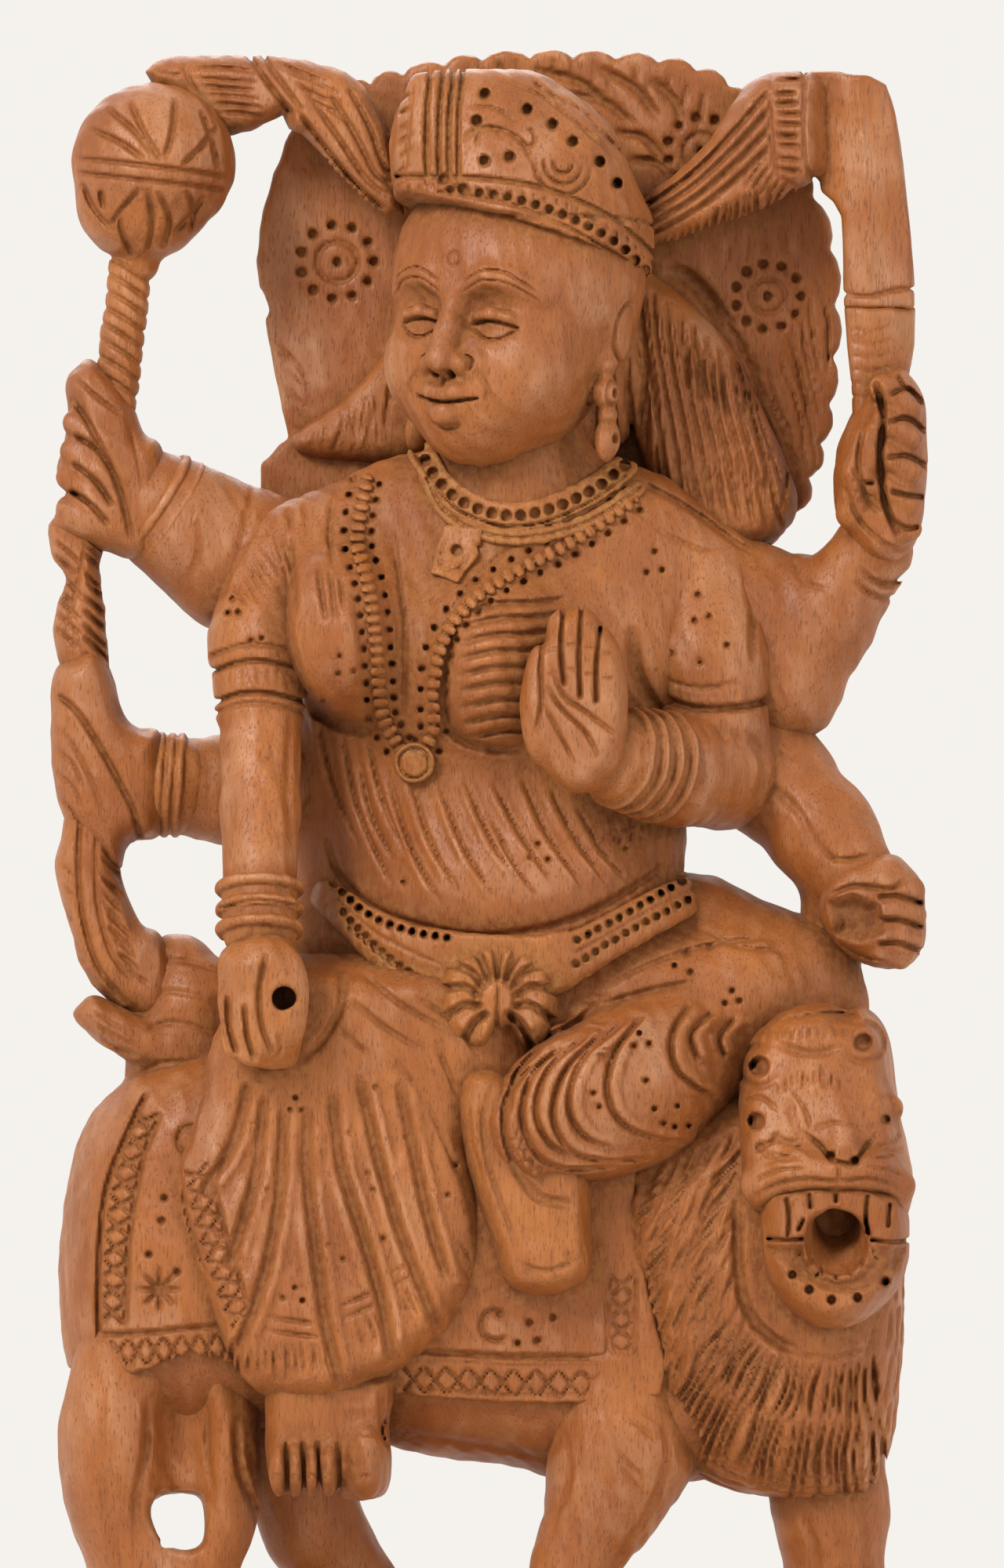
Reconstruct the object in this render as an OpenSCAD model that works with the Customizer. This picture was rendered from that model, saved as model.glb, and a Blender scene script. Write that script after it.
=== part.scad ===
// Carved wooden figure of a many-armed goddess seated side-saddle on a striding lion.
// The carving stands on its plinth. +Z is up, the figure faces -Y, and the origin is the
// centre of the plinth's underside. Every length below belongs to a statue 233 mm tall and
// is multiplied by k. The figure is divided along the lines that its carver cut between
// its forms, and the divided solids meet face to face.

/* [Overall] */
// Height of the whole statue above the surface that it stands on
statue_h = 233; // [120:1:400]

/* [Plinth] */
// Width of the plinth from side to side
plinth_w = 116; // [115:1:130]
// Depth of the plinth from front to back
plinth_d = 64; // [62:1:80]
// Height of the whole plinth
plinth_h = 10; // [9:0.5:11]
// How far the upper tier steps in from the lower tier
plinth_step = 2.5; // [1:0.5:3]

/* [Lion] */
// Half the depth of the lion's trunk
trunk_half_d = 17; // [15:0.5:18]
// Thickness of the saddle cloth over the trunk
cloth_t = 1.2; // [0.8:0.1:1.6]
// Diameter of the lion's round open mouth
mouth_d = 7.5; // [5:0.5:9]
// Depth of the mouth hole
mouth_depth = 8; // [4:0.5:10]

/* [Halo] */
// Width of the halo plate
halo_w = 73; // [68:1:74]
// Height of the halo plate
halo_h = 64; // [60:1:66]
// Thickness of the halo plate
halo_t = 6; // [4:0.5:7]
// Depth of the scallops on the halo's edge
scallop_depth = 1.6; // [0.5:0.1:2.5]
// Width of one scallop, in degrees of the rim
scallop_pitch = 10; // [8:1:15]

/* [Attributes] */
// Diameter of the mace's head
mace_head_d = 20; // [17:0.5:20]
// Diameter of the mace's shaft
mace_shaft_d = 6; // [5:0.5:7]
// Thickness of the sword's blade at its ridge
blade_t = 7; // [5:0.5:8]
// Diameter of the hole drilled in the front fist
hand_hole_d = 2.8; // [2:0.1:3.4]
// Depth of the hole drilled in the front fist
hand_hole_depth = 8; // [5:0.5:9]

/* [Jewellery] */
// Thickness of a bangle's wire
bangle_wire = 2; // [1.5:0.1:2.4]
// Thickness of the girdle
girdle_r = 2.6; // [2:0.1:3]
// Thickness of the garland's strands
garland_r = 1.9; // [1.5:0.1:2.4]
// Diameter of the shell rosette on the girdle
rosette_d = 15; // [12:0.5:16]

/* [Hidden] */

design_h = 233;
k = statue_h / design_h;
wood = "#b4703f";
pale_wood = "#c98a58";
dark_wood = "#9a5a30";
fine = 16;
coarse = 12;
small = 8;

// Height at which the front arm's wrist meets its fist
fist_top = 120;
// Centre of the hole in the front fist, on the fist's front
fist_hole_x = -27.8;
fist_hole_z = 112.7;
fist_front_y = -24.6;
// Centre of the lion's round mouth, and the front plane of its lips
mouth_x = 42.3;
mouth_z = 80.5;
lips_y = -29.2;
// Centre of the mace's head
mace_at = [-44.6, 2, 217.6];
// Centre line of the shell rosette
rosette_x = 0;
rosette_z = 115;
// Centre of the pendant disc
pendant_at = [-11, -10, 142.4];

// The points that the limbs run through, each [x, y, z, radius]
front_arm_beads = [
    [-29, -1, 168, 8], [-30.5, -7, 150, 6.2], [-31, -13, 134, 5.6], [-31, -17, 121, 5]
];
mace_arm_beads = [[-26, 6, 164, 9], [-36, 6, 166, 8.6], [-43, 4, 174, 7.2]];
lower_arm_beads = [[-24, 6, 142, 7], [-34, 6, 139.5, 6.6], [-44, 4, 140, 6.2]];
palm_arm_beads = [[26, -2, 166, 8.5], [30, -5, 149, 7], [28, -8, 142, 6.6], [16, -15, 142.5, 5.2]];
sword_arm_beads = [[28, 7, 163, 8.5], [38.5, 6, 151, 7.2], [43.5, 4, 162, 8], [47, 2, 170, 6]];
low_right_beads = [[26, 7, 149, 8], [34, 6, 141.5, 7.2], [42, 1, 134, 6.4], [45, -3, 129, 6]];
thigh_beads = [[4, -3, 113, 12], [20, -4, 114, 10.5], [35, 0, 113, 8]];
hind_strand = [[-38, -6, 64, 7.5], [-34.6, -8, 48, 3.2], [-41, -9.5, 36.5, 4.6]];
shin_beads = [[33, -4, 108, 8], [22, -11, 103, 10.5], [9, -13, 100, 9], [2, -15, 98, 6.5]];

// ---------------------------------------------------------------- shared shapes

// Ellipsoid with its centre at p and half-axes r
module egg(p, r, sides = fine) {
    hull() {
        translate(p)
            scale(r)
                sphere(1, $fn = sides);
    }
}

// Rounded limb through a list of beads
module limb(beads, sides = coarse) {
    for (i = [0 : len(beads) - 2]) {
        hull() {
            bead(beads[i], sides);
            bead(beads[i + 1], sides);
        }
    }
}

// One bead of a limb
module bead(b, sides) {
    translate([b[0], b[1], b[2]])
        sphere(b[3], $fn = sides);
}

// Ring of round wire whose axis runs along direction d through point p
module ring(p, d, r, wire) {
    tilt = acos(d[2] / norm(d));
    turn = atan2(d[1], d[0]);
    translate(p)
        rotate([0, tilt, turn])
            rotate_extrude($fn = 24)
                translate([r, 0])
                    circle(wire / 2, $fn = 8);
}

// Row of finger capsules: each finger is a pair of beads
module fingers(pairs, sides = small) {
    for (f = pairs) {
        hull() {
            bead(f[0], sides);
            bead(f[1], sides);
        }
    }
}

// Flat outline in the XZ plane, given depth from y_front to y_back
module slab(points, y_front, y_back) {
    translate([0, y_back, 0])
        rotate([90, 0, 0])
            linear_extrude(y_back - y_front)
                polygon(points);
}

// Everything above height z
module above(z) {
    translate([-100, -100, z])
        cube([200, 200, 300]);
}

// A fraction t of the way from a to b
function mix(a, b, t) = a + (b - a) * t;

// ---------------------------------------------------------------- plinth

module rounded_tier(w, d, z, h) {
    corner = 3;
    translate([0, 0, z])
        linear_extrude(h)
            offset(corner, $fn = 24)
                square([w - 2 * corner, d - 2 * corner], center = true);
}

module plinth() {
    lower_h = plinth_h * 0.6;
    color(dark_wood)
        scale(k) {
            rounded_tier(plinth_w, plinth_d, 0, lower_h);
            rounded_tier(
                plinth_w - 2 * plinth_step, plinth_d - 2 * plinth_step,
                lower_h, plinth_h - lower_h
            );
        }
}

// ---------------------------------------------------------------- lion

module trunk_form(grow = 0) {
    d = trunk_half_d + grow;
    hull() {
        egg([-38, 3, 79], [17.5 + grow, d, 25 + grow]);
        egg([-8, 3, 80], [18 + grow, d, 25 + grow]);
    }
    hull() {
        egg([-8, 3, 80], [18 + grow, d, 25 + grow]);
        egg([18, 2, 77], [18 + grow, d, 25 + grow]);
    }
}

module lion_body() {
    color(wood)
        scale(k)
            trunk_form();
}

module lion_head_form() {
    egg([41.5, -11, 97], [11, 14, 14.5]);
    egg([43.5, -19, 91], [8.6, 9, 6.5]);
    egg([32.5, -9, 104.5], [3, 4, 3.4], coarse);
    egg([47, -9, 106.5], [3, 4, 3.4], coarse);
    // Brow ridges and cheeks
    egg([36, -20, 99], [4.5, 4, 2.6], coarse);
    egg([47.5, -20, 99], [4.2, 4, 2.6], coarse);
    egg([34.5, -17, 89], [4.5, 6, 4.5], coarse);
    egg([49.3, -17, 90], [3, 6, 4.5], coarse);
}

module lion_head() {
    color(wood)
        scale(k)
            lion_head_form();
}

module jaw_form() {
    jaw_depth = 15;
    translate([mouth_x, -14, mouth_z - 1])
        rotate([90, 0, 0])
            cylinder(h = jaw_depth, r1 = 9.6, r2 = 8.6, $fn = 40);
}

module lion_jaw() {
    teeth = 5;
    tooth_circle_r = 6.6;
    color(pale_wood)
        scale(k)
            difference() {
                jaw_form();
                translate([mouth_x, lips_y + mouth_depth, mouth_z])
                    rotate([90, 0, 0])
                        cylinder(h = mouth_depth + 1, d = mouth_d, $fn = 32);
                for (i = [0 : teeth - 1]) {
                    a = 205 + i * 130 / (teeth - 1);
                    translate([mouth_x + tooth_circle_r * cos(a), -27.4, mouth_z - 1 + tooth_circle_r * sin(a)])
                        rotate([90, 0, 0])
                            cylinder(h = 3, d = 1.3, $fn = 16);
                }
                // The upper lip cuts the jaw off level
                translate([30, -30, 86.5])
                    cube([25, 20, 5]);
            }
}

module mane_form() {
    locks = 9;
    egg([33, -2, 70], [18, 19, 21.5]);
    for (i = [0 : locks - 1]) {
        a = 195 + i * 150 / (locks - 1);
        c = [33 + 10 * cos(a), -8, 70 + 12 * sin(a), 6.5];
        t = [33 + 15 * cos(a), -6, 70 + 17.5 * sin(a), 3.6];
        limb([c, t], small);
    }
}

module lion_mane() {
    color(dark_wood)
        scale(k)
            difference() {
                mane_form();
                trunk_form(cloth_t);
                lion_head_form();
                jaw_form();
            }
}

// A leg through its beads with a paw at its foot, cut flat on the plinth's top.
// A strand is a second run of beads that joins the leg, as the inner edge of a pierced leg does.
module leg(beads, paw_centre, paw_size, strand = []) {
    difference() {
        union() {
            limb(beads);
            if (len(strand) > 0) {
                limb(strand);
            }
            egg(paw_centre, paw_size, coarse);
            for (side = [-1, 0, 1]) {
                toe = paw_centre + [paw_size[0] * 0.72, side * paw_size[1] * 0.55, -0.8];
                egg(toe, [3.2, 2.4, 3.4], small);
            }
        }
        translate([-100, -100, plinth_h - 50])
            cube([200, 200, 50]);
        trunk_form();
        mane_form();
    }
}

module hind_leg_left() {
    color(wood)
        scale(k)
            leg(
                [[-47, -7, 66, 9], [-50.3, -9, 49, 5.2], [-46.5, -10, 37, 5.6], [-43.5, -11, 30, 5.4],
                 [-43.5, -11, 16, 4.8]],
                [-39.5, -12, 15], [9, 6.6, 5.6], hind_strand
            );
}

module hind_leg_right() {
    color(dark_wood)
        scale(k)
            difference() {
                leg(
                    [[-29, 9, 60, 8.5], [-24, 10, 45, 5.8], [-12, 11, 28, 4.8], [-7, 11, 16, 4.6]],
                    [-3, 11, 15], [8.6, 6.4, 5.6]
                );
                limb(hind_strand);
            }
}

module fore_leg_left() {
    color(wood)
        scale(k)
            leg(
                [[15, -4, 62, 12], [13.5, -8, 51, 8.5], [9.8, -10, 41, 4.9], [6.5, -11, 27, 4.6],
                 [5, -11, 16, 4.6]],
                [9, -11.5, 15], [8.6, 6.4, 5.6]
            );
}

module fore_leg_right() {
    color(wood)
        scale(k)
            leg(
                [[40, 4, 60, 9], [42.2, 3, 46, 6.2], [42.4, 3, 28, 5.2], [42.8, 3, 16, 4.9]],
                [46, 3, 15], [8.6, 6.6, 5.6]
            );
}

module tail_form() {
    limb([[-43, 8, 96, 7.5], [-42, 7, 108, 7], [-42.5, 6, 115, 5.6]]);
    // Three-lobed fin at the tail's root
    limb([[-44, 5, 106, 5], [-50.5, 4, 108.6, 3]], 12);
    limb([[-44, 5, 109, 5], [-52, 4, 110, 2]], 12);
}

module lion_tail() {
    color(wood)
        scale(k)
            difference() {
                tail_form();
                trunk_form(cloth_t);
                leaf_form();
                fist_form();
            }
}

module saddle_cloth() {
    cloth_back_x = -51;
    cloth_length = 70;
    hem_z = 62;
    color(pale_wood)
        scale(k)
            difference() {
                intersection() {
                    trunk_form(cloth_t);
                    translate([cloth_back_x, -40, hem_z])
                        cube([cloth_length, 80, 60]);
                }
                trunk_form();
            }
}

// ---------------------------------------------------------------- body of the goddess

module torso_form() {
    hull() {
        egg([0, 2, 117], [25, 13.5, 12]);
        egg([-1, 1, 138], [22.5, 12, 10]);
    }
    hull() {
        egg([-1, 1, 138], [22.5, 12, 10]);
        egg([1, 0, 159], [27, 13, 13]);
    }
    egg([1, 2, 168], [31, 11, 8]);
    egg([-21, -8, 161], [8, 9.5, 8.5], coarse);
    egg([0, -8, 155], [10, 10.5, 10], coarse);
    egg([2, -4, 124], [17, 10.5, 12], coarse);
}

module torso() {
    color(wood)
        scale(k)
            difference() {
                torso_form();
                trunk_form(cloth_t);
                halo_form();
            }
}

// Girdle: a closed loop of beads that dips at the front of the hips
module girdle_form() {
    beads = 16;
    half_w = 25.5;
    half_d = 14.5;
    side_z = 129;
    front_drop = 14;
    function at(i) =
        let (a = i * 360 / beads, front = max(0, -sin(a)))
        [half_w * cos(a), 1.5 + half_d * sin(a), side_z - front_drop * pow(front, 1.5), girdle_r];
    for (i = [0 : beads - 1]) {
        limb([at(i), at(i + 1)], small);
    }
}

module girdle() {
    color(pale_wood)
        scale(k)
            difference() {
                girdle_form();
                torso_form();
                rosette_disc();
            }
}

module rosette_disc() {
    translate([rosette_x, -10, rosette_z])
        rotate([90, 0, 0])
            cylinder(h = 8, d = rosette_d, $fn = 30);
}

// Shell rosette: a disc with a fan of flutes and a round boss
module girdle_rosette() {
    flutes = 9;
    boss_r = 2.6;
    boss_z = rosette_z - 2.5;
    color(pale_wood)
        scale(k)
            difference() {
                union() {
                    rosette_disc();
                    translate([rosette_x, -17.6, boss_z])
                        sphere(boss_r, $fn = 24);
                }
                for (i = [0 : flutes - 1]) {
                    a = 10 + i * 160 / (flutes - 1);
                    translate([rosette_x, -18.2, boss_z])
                        rotate([0, -a, 0])
                            translate([boss_r + 0.6, 0, 0])
                                rotate([0, 90, 0])
                                    cylinder(h = 8, d = 1, $fn = 8);
                }
                torso_form();
            }
}

// Pleated skirt over the hanging leg: pleats fan out from the knee to a curved hem
module skirt_form() {
    pleats = 9;
    for (i = [0 : pleats - 1]) {
        t = i / (pleats - 1);
        knee = [mix(-34, -8, t), mix(-9, -11, t), mix(99, 104, t), 6.5];
        hem = [mix(-36.5, -6, t), -15 - 6 * sin(180 * t), 67.5 + 28 * pow(t - 0.4, 2), 3.6];
        limb([knee, hem], 10);
    }
    egg([-24, -8, 104], [14, 12, 9], coarse);
}

module skirt() {
    color(pale_wood)
        scale(k)
            difference() {
                skirt_form();
                trunk_form(cloth_t);
                torso_form();
                rosette_disc();
                girdle_form();
                fist_form();
            }
}

module hanging_foot() {
    toes = 5;
    color(wood)
        scale(k)
            difference() {
                union() {
                    hull() {
                        egg([-22, -14, 66], [7, 6, 6], coarse);
                        egg([-22, -20, 55.5], [8, 5.5, 5], coarse);
                    }
                    for (i = [0 : toes - 1]) {
                        r = 1.5 + 0.3 * i;
                        x = -28 + 2.9 * i;
                        limb([[x, -21, 55, r], [x, -23.5, 51.6 - 0.15 * i, r]], small);
                    }
                }
                trunk_form(cloth_t);
                skirt_form();
            }
}

module folded_form() {
    limb(thigh_beads);
    limb(shin_beads);
}

module folded_leg() {
    color(pale_wood)
        scale(k)
            difference() {
                folded_form();
                trunk_form(cloth_t);
                torso_form();
                mane_form();
                lion_head_form();
                skirt_form();
                girdle_form();
                rosette_disc();
            }
}

module folded_foot() {
    color(wood)
        scale(k)
            difference() {
                hull() {
                    egg([-1, -16, 95], [4.8, 4.8, 5], coarse);
                    egg([5.5, -18, 81.5], [7, 5.5, 6], coarse);
                }
                trunk_form(cloth_t);
                folded_form();
                mane_form();
                skirt_form();
            }
}

// ---------------------------------------------------------------- head, crown, halo

module head_form() {
    egg([2, -3, 198], [15.6, 14.5, 17]);
    egg([-1, -6, 188], [11, 10.5, 8], coarse);
    limb([[2, -1, 186, 8.2], [2, 0, 172, 8.8]]);
    // Nose and ears
    limb([[-5.8, -16, 201, 1.6], [-7.2, -18.6, 194.5, 2]], 12);
    egg([17.2, -1, 197], [2, 3.2, 5], coarse);
    egg([-12.6, 2, 198], [2, 3.2, 5], coarse);
}

module head() {
    color(pale_wood)
        scale(k)
            difference() {
                head_form();
                torso_form();
                halo_form();
            }
}

module crown_cap() {
    hull() {
        translate([3, -3, 209.5])
            rotate([0, 13, 0])
                scale([1, 0.95, 1])
                    cylinder(h = 4, r = 17.4, center = true, $fn = 32);
        translate([-4, -4, 229])
            scale([8.6, 7.5, 1])
                cylinder(h = 2, r = 1, $fn = 28);
    }
}

// Cap of the crown with the band of beads along its lower edge
module crown_form() {
    crown_cap();
    band_at = [3, -3, 208.4];
    band_r = 17.2;
    for (a = [0 : 30 : 330]) {
        bead_at = band_at + [band_r * cos(a), (band_r - 1) * sin(a), -4 * cos(a)];
        egg(bead_at, [2.4, 2.4, 1.9], small);
    }
}

module crown() {
    color(pale_wood)
        scale(k)
            difference() {
                crown_form();
                head_form();
                halo_form();
            }
}

module hair_form() {
    limb([[-12, 4, 203, 5], [-17, 4, 191, 6.5], [-23, 5, 182, 5.5]]);
    limb([[20, 3, 207, 6], [25, 3, 194, 8], [28, 4, 181, 8], [30, 5, 174, 5.5]]);
    egg([3, 6, 196], [19, 9, 20]);
}

module hair() {
    color(dark_wood)
        scale(k)
            difference() {
                hair_form();
                head_form();
                crown_cap();
                torso_form();
                halo_form();
            }
}

// Rim radius of the halo at angle a: an ellipse with scallops over its top and right side
function halo_rim(a) =
    let (
        scalloped = a > -40 && a < 128,
        bulge = abs(sin(180 * a / scallop_pitch)),
        dip = scalloped ? scallop_depth * (bulge - 1) : -scallop_depth / 2
    )
    [(halo_w / 2 + dip) * cos(a), (halo_h / 2 + dip) * sin(a)];

module halo_form() {
    halo_x = 6;
    halo_top = design_h;
    y_back = 18;
    centre = [halo_x, halo_top - halo_h / 2];
    outline = [for (a = [-90 : 2 : 268]) halo_rim(a > 180 ? a - 360 : a) + centre];
    slab(outline, y_back - halo_t, y_back);
}

module halo() {
    color(dark_wood)
        scale(k)
            halo_form();
}

// ---------------------------------------------------------------- jewellery

module necklace() {
    beads = [[-9, -9, 179.5, 1.8], [-6, -12, 175.5, 1.8], [0, -13.5, 173, 1.8], [6, -13, 173.5, 1.8],
             [12, -11, 176, 1.8], [17, -7, 180, 1.8]];
    color(pale_wood)
        scale(k)
            difference() {
                limb(beads, 10);
                torso_form();
                head_form();
                hair_form();
            }
}

module garland_form() {
    r = garland_r;
    left_strand = [
        [-17, -6, 177, r], [-17, -13, 170, r], [-15, -16, 160, r], [-13, -14.5, 150, r],
        [-11.5, -13.6, 145, r]
    ];
    right_strand = [
        [17, -8, 177, r], [8, -12, 172, r], [-1, -15, 167, r], [-7, -17, 160, r],
        [-9, -15.5, 151, r], [-9.6, -13.8, 145, r]
    ];
    limb(left_strand, 10);
    limb(right_strand, 10);
}

module garland() {
    color(pale_wood)
        scale(k)
            difference() {
                garland_form();
                torso_form();
                pendant_form();
            }
}

module pendant_form() {
    translate(pendant_at)
        rotate([90, 0, 0])
            cylinder(h = 5, d = 5.4, $fn = 32);
}

module pendant() {
    color(wood)
        scale(k)
            difference() {
                pendant_form();
                torso_form();
            }
}

// ---------------------------------------------------------------- the figure's right arms

module front_arm() {
    color(wood)
        scale(k)
            difference() {
                intersection() {
                    limb(front_arm_beads);
                    above(fist_top);
                }
                torso_form();
                mace_arm_form();
                lower_arm_form();
            }
}

module front_bangles() {
    color(pale_wood)
        scale(k)
            difference() {
                for (i = [0 : 2]) {
                    ring([-31, -16 + 0.9 * i, 123.5 + 2.3 * i], [0, 0.28, 1], 5.4, bangle_wire);
                }
                limb(front_arm_beads);
            }
}

// Solid of the closed fist before its hole is drilled
module fist_form() {
    intersection() {
        union() {
            hull() {
                egg([-31, -17, 117], [6, 6, 5], coarse);
                egg([-30.5, -19, 108.5], [5.8, 5.6, 4.2], coarse);
            }
            fingers([
                [[-34.5, -18, 114, 2.4], [-34, -19.5, 107.5, 2]],
                [[-27.8, -22, 116, 2.6], [-27.8, -21.5, 109.5, 2.4]]
            ]);
        }
        // The wrist cuts the fist off level
        translate([-60, -60, 60])
            cube([60, 60, fist_top - 60]);
    }
}

module front_fist() {
    color(wood)
        scale(k)
            difference() {
                fist_form();
                translate([fist_hole_x, fist_front_y + hand_hole_depth, fist_hole_z])
                    rotate([90, 0, 0])
                        cylinder(h = hand_hole_depth + 2, d = hand_hole_d, $fn = 32);
            }
}

module mace_arm_form() {
    limb(mace_arm_beads);
}

module mace_arm() {
    color(wood)
        scale(k)
            difference() {
                mace_arm_form();
                torso_form();
            }
}

module mace_arm_bangles() {
    color(pale_wood)
        scale(k)
            difference() {
                for (i = [0 : 2]) {
                    at = [-40.4 - 1.9 * i, 4.6 - 0.5 * i, 171.5 + 2.2 * i];
                    ring(at, [-1, -0.3, 1.1], 8.2 - 0.3 * i, bangle_wire);
                }
                mace_arm_form();
            }
}

module mace_hand() {
    color(pale_wood)
        scale(k)
            difference() {
                union() {
                    egg([-49, 2, 178], [6, 8, 9], coarse);
                    fingers([
                        [[-55, -1, 190, 2.6], [-47, -5, 182, 3]],
                        [[-55.2, -1, 186, 2.4], [-47.5, -5, 178, 3]],
                        [[-55.2, -1, 182, 2.2], [-48, -5, 174.4, 3]],
                        [[-54, 0, 178.6, 2.2], [-49, -4, 171.6, 2.8]],
                        [[-52, 3, 189, 3], [-46, 3, 178, 3.6]]
                    ]);
                }
                mace_shaft_form();
                mace_foot_form();
                mace_arm_form();
                torso_form();
            }
}

module mace_head_form() {
    translate(mace_at)
        sphere(d = mace_head_d, $fn = 40);
}

module mace_head() {
    band_h = 2.4;
    color(wood)
        scale(k)
            difference() {
                union() {
                    mace_head_form();
                    translate(mace_at - [0, 0, 0.8])
                        cylinder(h = band_h, r = mace_head_d / 2 + 0.3, center = true, $fn = 40);
                }
                mace_shaft_form();
            }
}

module mace_shaft_form() {
    r = mace_shaft_d / 2;
    limb([[-46.6, 2, 209, r], [-48.6, 2, 196, r], [-50.4, 2, 178, r]]);
}

module mace_shaft() {
    turns = 10;
    color(wood)
        scale(k)
            difference() {
                mace_shaft_form();
                mace_foot_form();
                for (i = [0 : turns - 1]) {
                    t = i / (turns - 1);
                    ring([mix(-47, -49.4, t), 2, mix(205, 186, t)], [0.75, 0, 1], mace_shaft_d / 2 + 0.9, 1);
                }
            }
}

module mace_foot_form() {
    limb([[-53.6, 2.5, 175.5, 3.4], [-54, 3, 166, 3.2], [-53.6, 3, 157, 3.2], [-53, 3, 145, 3]]);
}

module mace_foot() {
    notches = 6;
    color(wood)
        scale(k)
            difference() {
                mace_foot_form();
                leaf_form();
                for (i = [0 : notches - 1]) {
                    ring([-53.8, 3, 159 + 2.4 * i], [-0.6, 0, 1], 4.1, 1);
                }
            }
}

// Leaf below the lower hand, pointing down, with a raised midrib
module leaf_form() {
    outline = [
        [-55.5, 138], [-57, 132], [-56.2, 125], [-54, 118], [-51, 113.6], [-46, 118], [-44, 122],
        [-47, 127], [-48.2, 132], [-49, 139]
    ];
    slab(outline, -0.5, 5.5);
    limb([[-52, -0.5, 137, 1.3], [-52, -1, 126, 1.6], [-51, -0.5, 116, 0.9]], 10);
}

module leaf() {
    color(dark_wood)
        scale(k)
            difference() {
                leaf_form();
                trunk_form(cloth_t);
            }
}

module lower_arm_form() {
    limb(lower_arm_beads);
}

module lower_arm() {
    color(wood)
        scale(k)
            difference() {
                lower_arm_form();
                torso_form();
            }
}

module lower_arm_bangles() {
    color(pale_wood)
        scale(k)
            difference() {
                for (i = [0 : 2]) {
                    ring([-40 - 2.2 * i, 4.8 - 0.4 * i, 139.8], [-1, -0.2, 0], 6.7, bangle_wire);
                }
                lower_arm_form();
            }
}

module lower_hand() {
    color(pale_wood)
        scale(k)
            difference() {
                union() {
                    egg([-50, 2, 143], [6, 7.5, 8.5], coarse);
                    fingers([
                        [[-55.2, -1, 152, 2.2], [-48, -5, 144, 2.8]],
                        [[-55.4, -1, 147.8, 2.2], [-48, -5, 140.6, 2.8]],
                        [[-55.2, -1, 143.6, 2.2], [-49, -5, 137.6, 2.6]],
                        [[-54, -1, 139.8, 2.2], [-50, -4.5, 135.4, 2.2]],
                        [[-54.6, 2, 153.4, 2.6], [-47, 1, 145, 3.4]]
                    ]);
                }
                mace_foot_form();
                leaf_form();
                lower_arm_form();
            }
}

// ---------------------------------------------------------------- the figure's left arms

module palm_arm_form() {
    limb(palm_arm_beads);
}

module palm_arm() {
    color(wood)
        scale(k)
            difference() {
                palm_arm_form();
                torso_form();
            }
}

module palm_bangles() {
    color(pale_wood)
        scale(k)
            difference() {
                for (i = [0 : 2]) {
                    ring([16.6 + 2 * i, -14.6 + 1.2 * i, 142.5], [-1, -0.58, 0], 5.6 + 0.2 * i, bangle_wire);
                }
                palm_arm_form();
            }
}

module open_palm() {
    color(pale_wood)
        scale(k)
            difference() {
                union() {
                    egg([9.6, -19, 147], [7.2, 4.2, 8]);
                    fingers([
                        [[6.6, -20.5, 148, 2], [7, -21, 160, 1.7]],
                        [[9.4, -20.5, 149, 2], [9.5, -21, 161.2, 1.7]],
                        [[12, -20, 149, 2], [12, -20.5, 160, 1.7]],
                        [[14.4, -19.5, 147, 1.9], [15, -20, 156, 1.6]],
                        [[4.4, -19.5, 144, 2.2], [3.8, -20.5, 155.4, 1.7]]
                    ]);
                }
                palm_arm_form();
                torso_form();
            }
}

module sword_arm_form() {
    limb(sword_arm_beads);
}

module sword_arm() {
    color(wood)
        scale(k)
            difference() {
                sword_arm_form();
                torso_form();
                palm_arm_form();
                low_right_form();
            }
}

module sword_hand() {
    stack = 4;
    color(pale_wood)
        scale(k)
            difference() {
                union() {
                    egg([46.5, 3, 180], [5.4, 7, 10.5], coarse);
                    for (i = [0 : stack - 1]) {
                        z = 174.5 + 4.6 * i;
                        limb([[51, 2, z, 2.8], [49.6, -3.4, z - 0.6, 2.8], [45.5, -5.2, z - 1.6, 2.5]], small);
                    }
                    limb([[44, 1, 176, 3], [46.5, -5, 182, 2.4]], small);
                }
                hilt_form();
                sword_arm_form();
                blade_form();
            }
}

module hilt_form() {
    limb([[47.6, 1, 172, 2.8], [48.4, 1, 196, 2.8]]);
}

module sword_hilt() {
    color(dark_wood)
        scale(k)
            difference() {
                union() {
                    hilt_form();
                    for (i = [0 : 4]) {
                        ring([48.3, 1, 191.6 + 1.1 * i], [0, 0, 1], 2.6, 1.2);
                    }
                    limb([[45.8, 1, 197.6, 2.2], [51, 1, 198.6, 2.2]], 12);
                }
                sword_arm_form();
                blade_form();
            }
}

// Blade of diamond section with a ridge down each face
module blade_form() {
    ridge = blade_t / 2;
    edge_outline = [[40, 230.5], [48.8, 229.6], [52, 214], [52.4, 200.5], [44.6, 199], [43.2, 212]];
    ridge_outline = [[46, 228], [46.8, 228], [48.6, 202], [47.8, 202]];
    hull() {
        slab(edge_outline, 0.4, 1.6);
        slab(ridge_outline, 1 - ridge, 1 + ridge);
    }
}

module sword_blade() {
    color(wood)
        scale(k)
            blade_form();
}

module low_right_form() {
    limb(low_right_beads);
}

module low_right_arm() {
    color(wood)
        scale(k)
            difference() {
                low_right_form();
                torso_form();
                palm_arm_form();
            }
}

module low_right_fist() {
    stack = 4;
    color(pale_wood)
        scale(k)
            difference() {
                union() {
                    egg([44.5, -5, 123], [4.6, 6.5, 6], coarse);
                    for (i = [0 : stack - 1]) {
                        z = 119.4 + 3 * i;
                        limb([[46, -3, z, 2.2], [51.4, -7, z, 2], [48.5, -12, z, 1.9]], small);
                    }
                    limb([[43, -6, 126, 3], [49, -11, 128.6, 2.2]], small);
                }
                low_right_form();
                folded_form();
                lion_head_form();
            }
}

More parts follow.
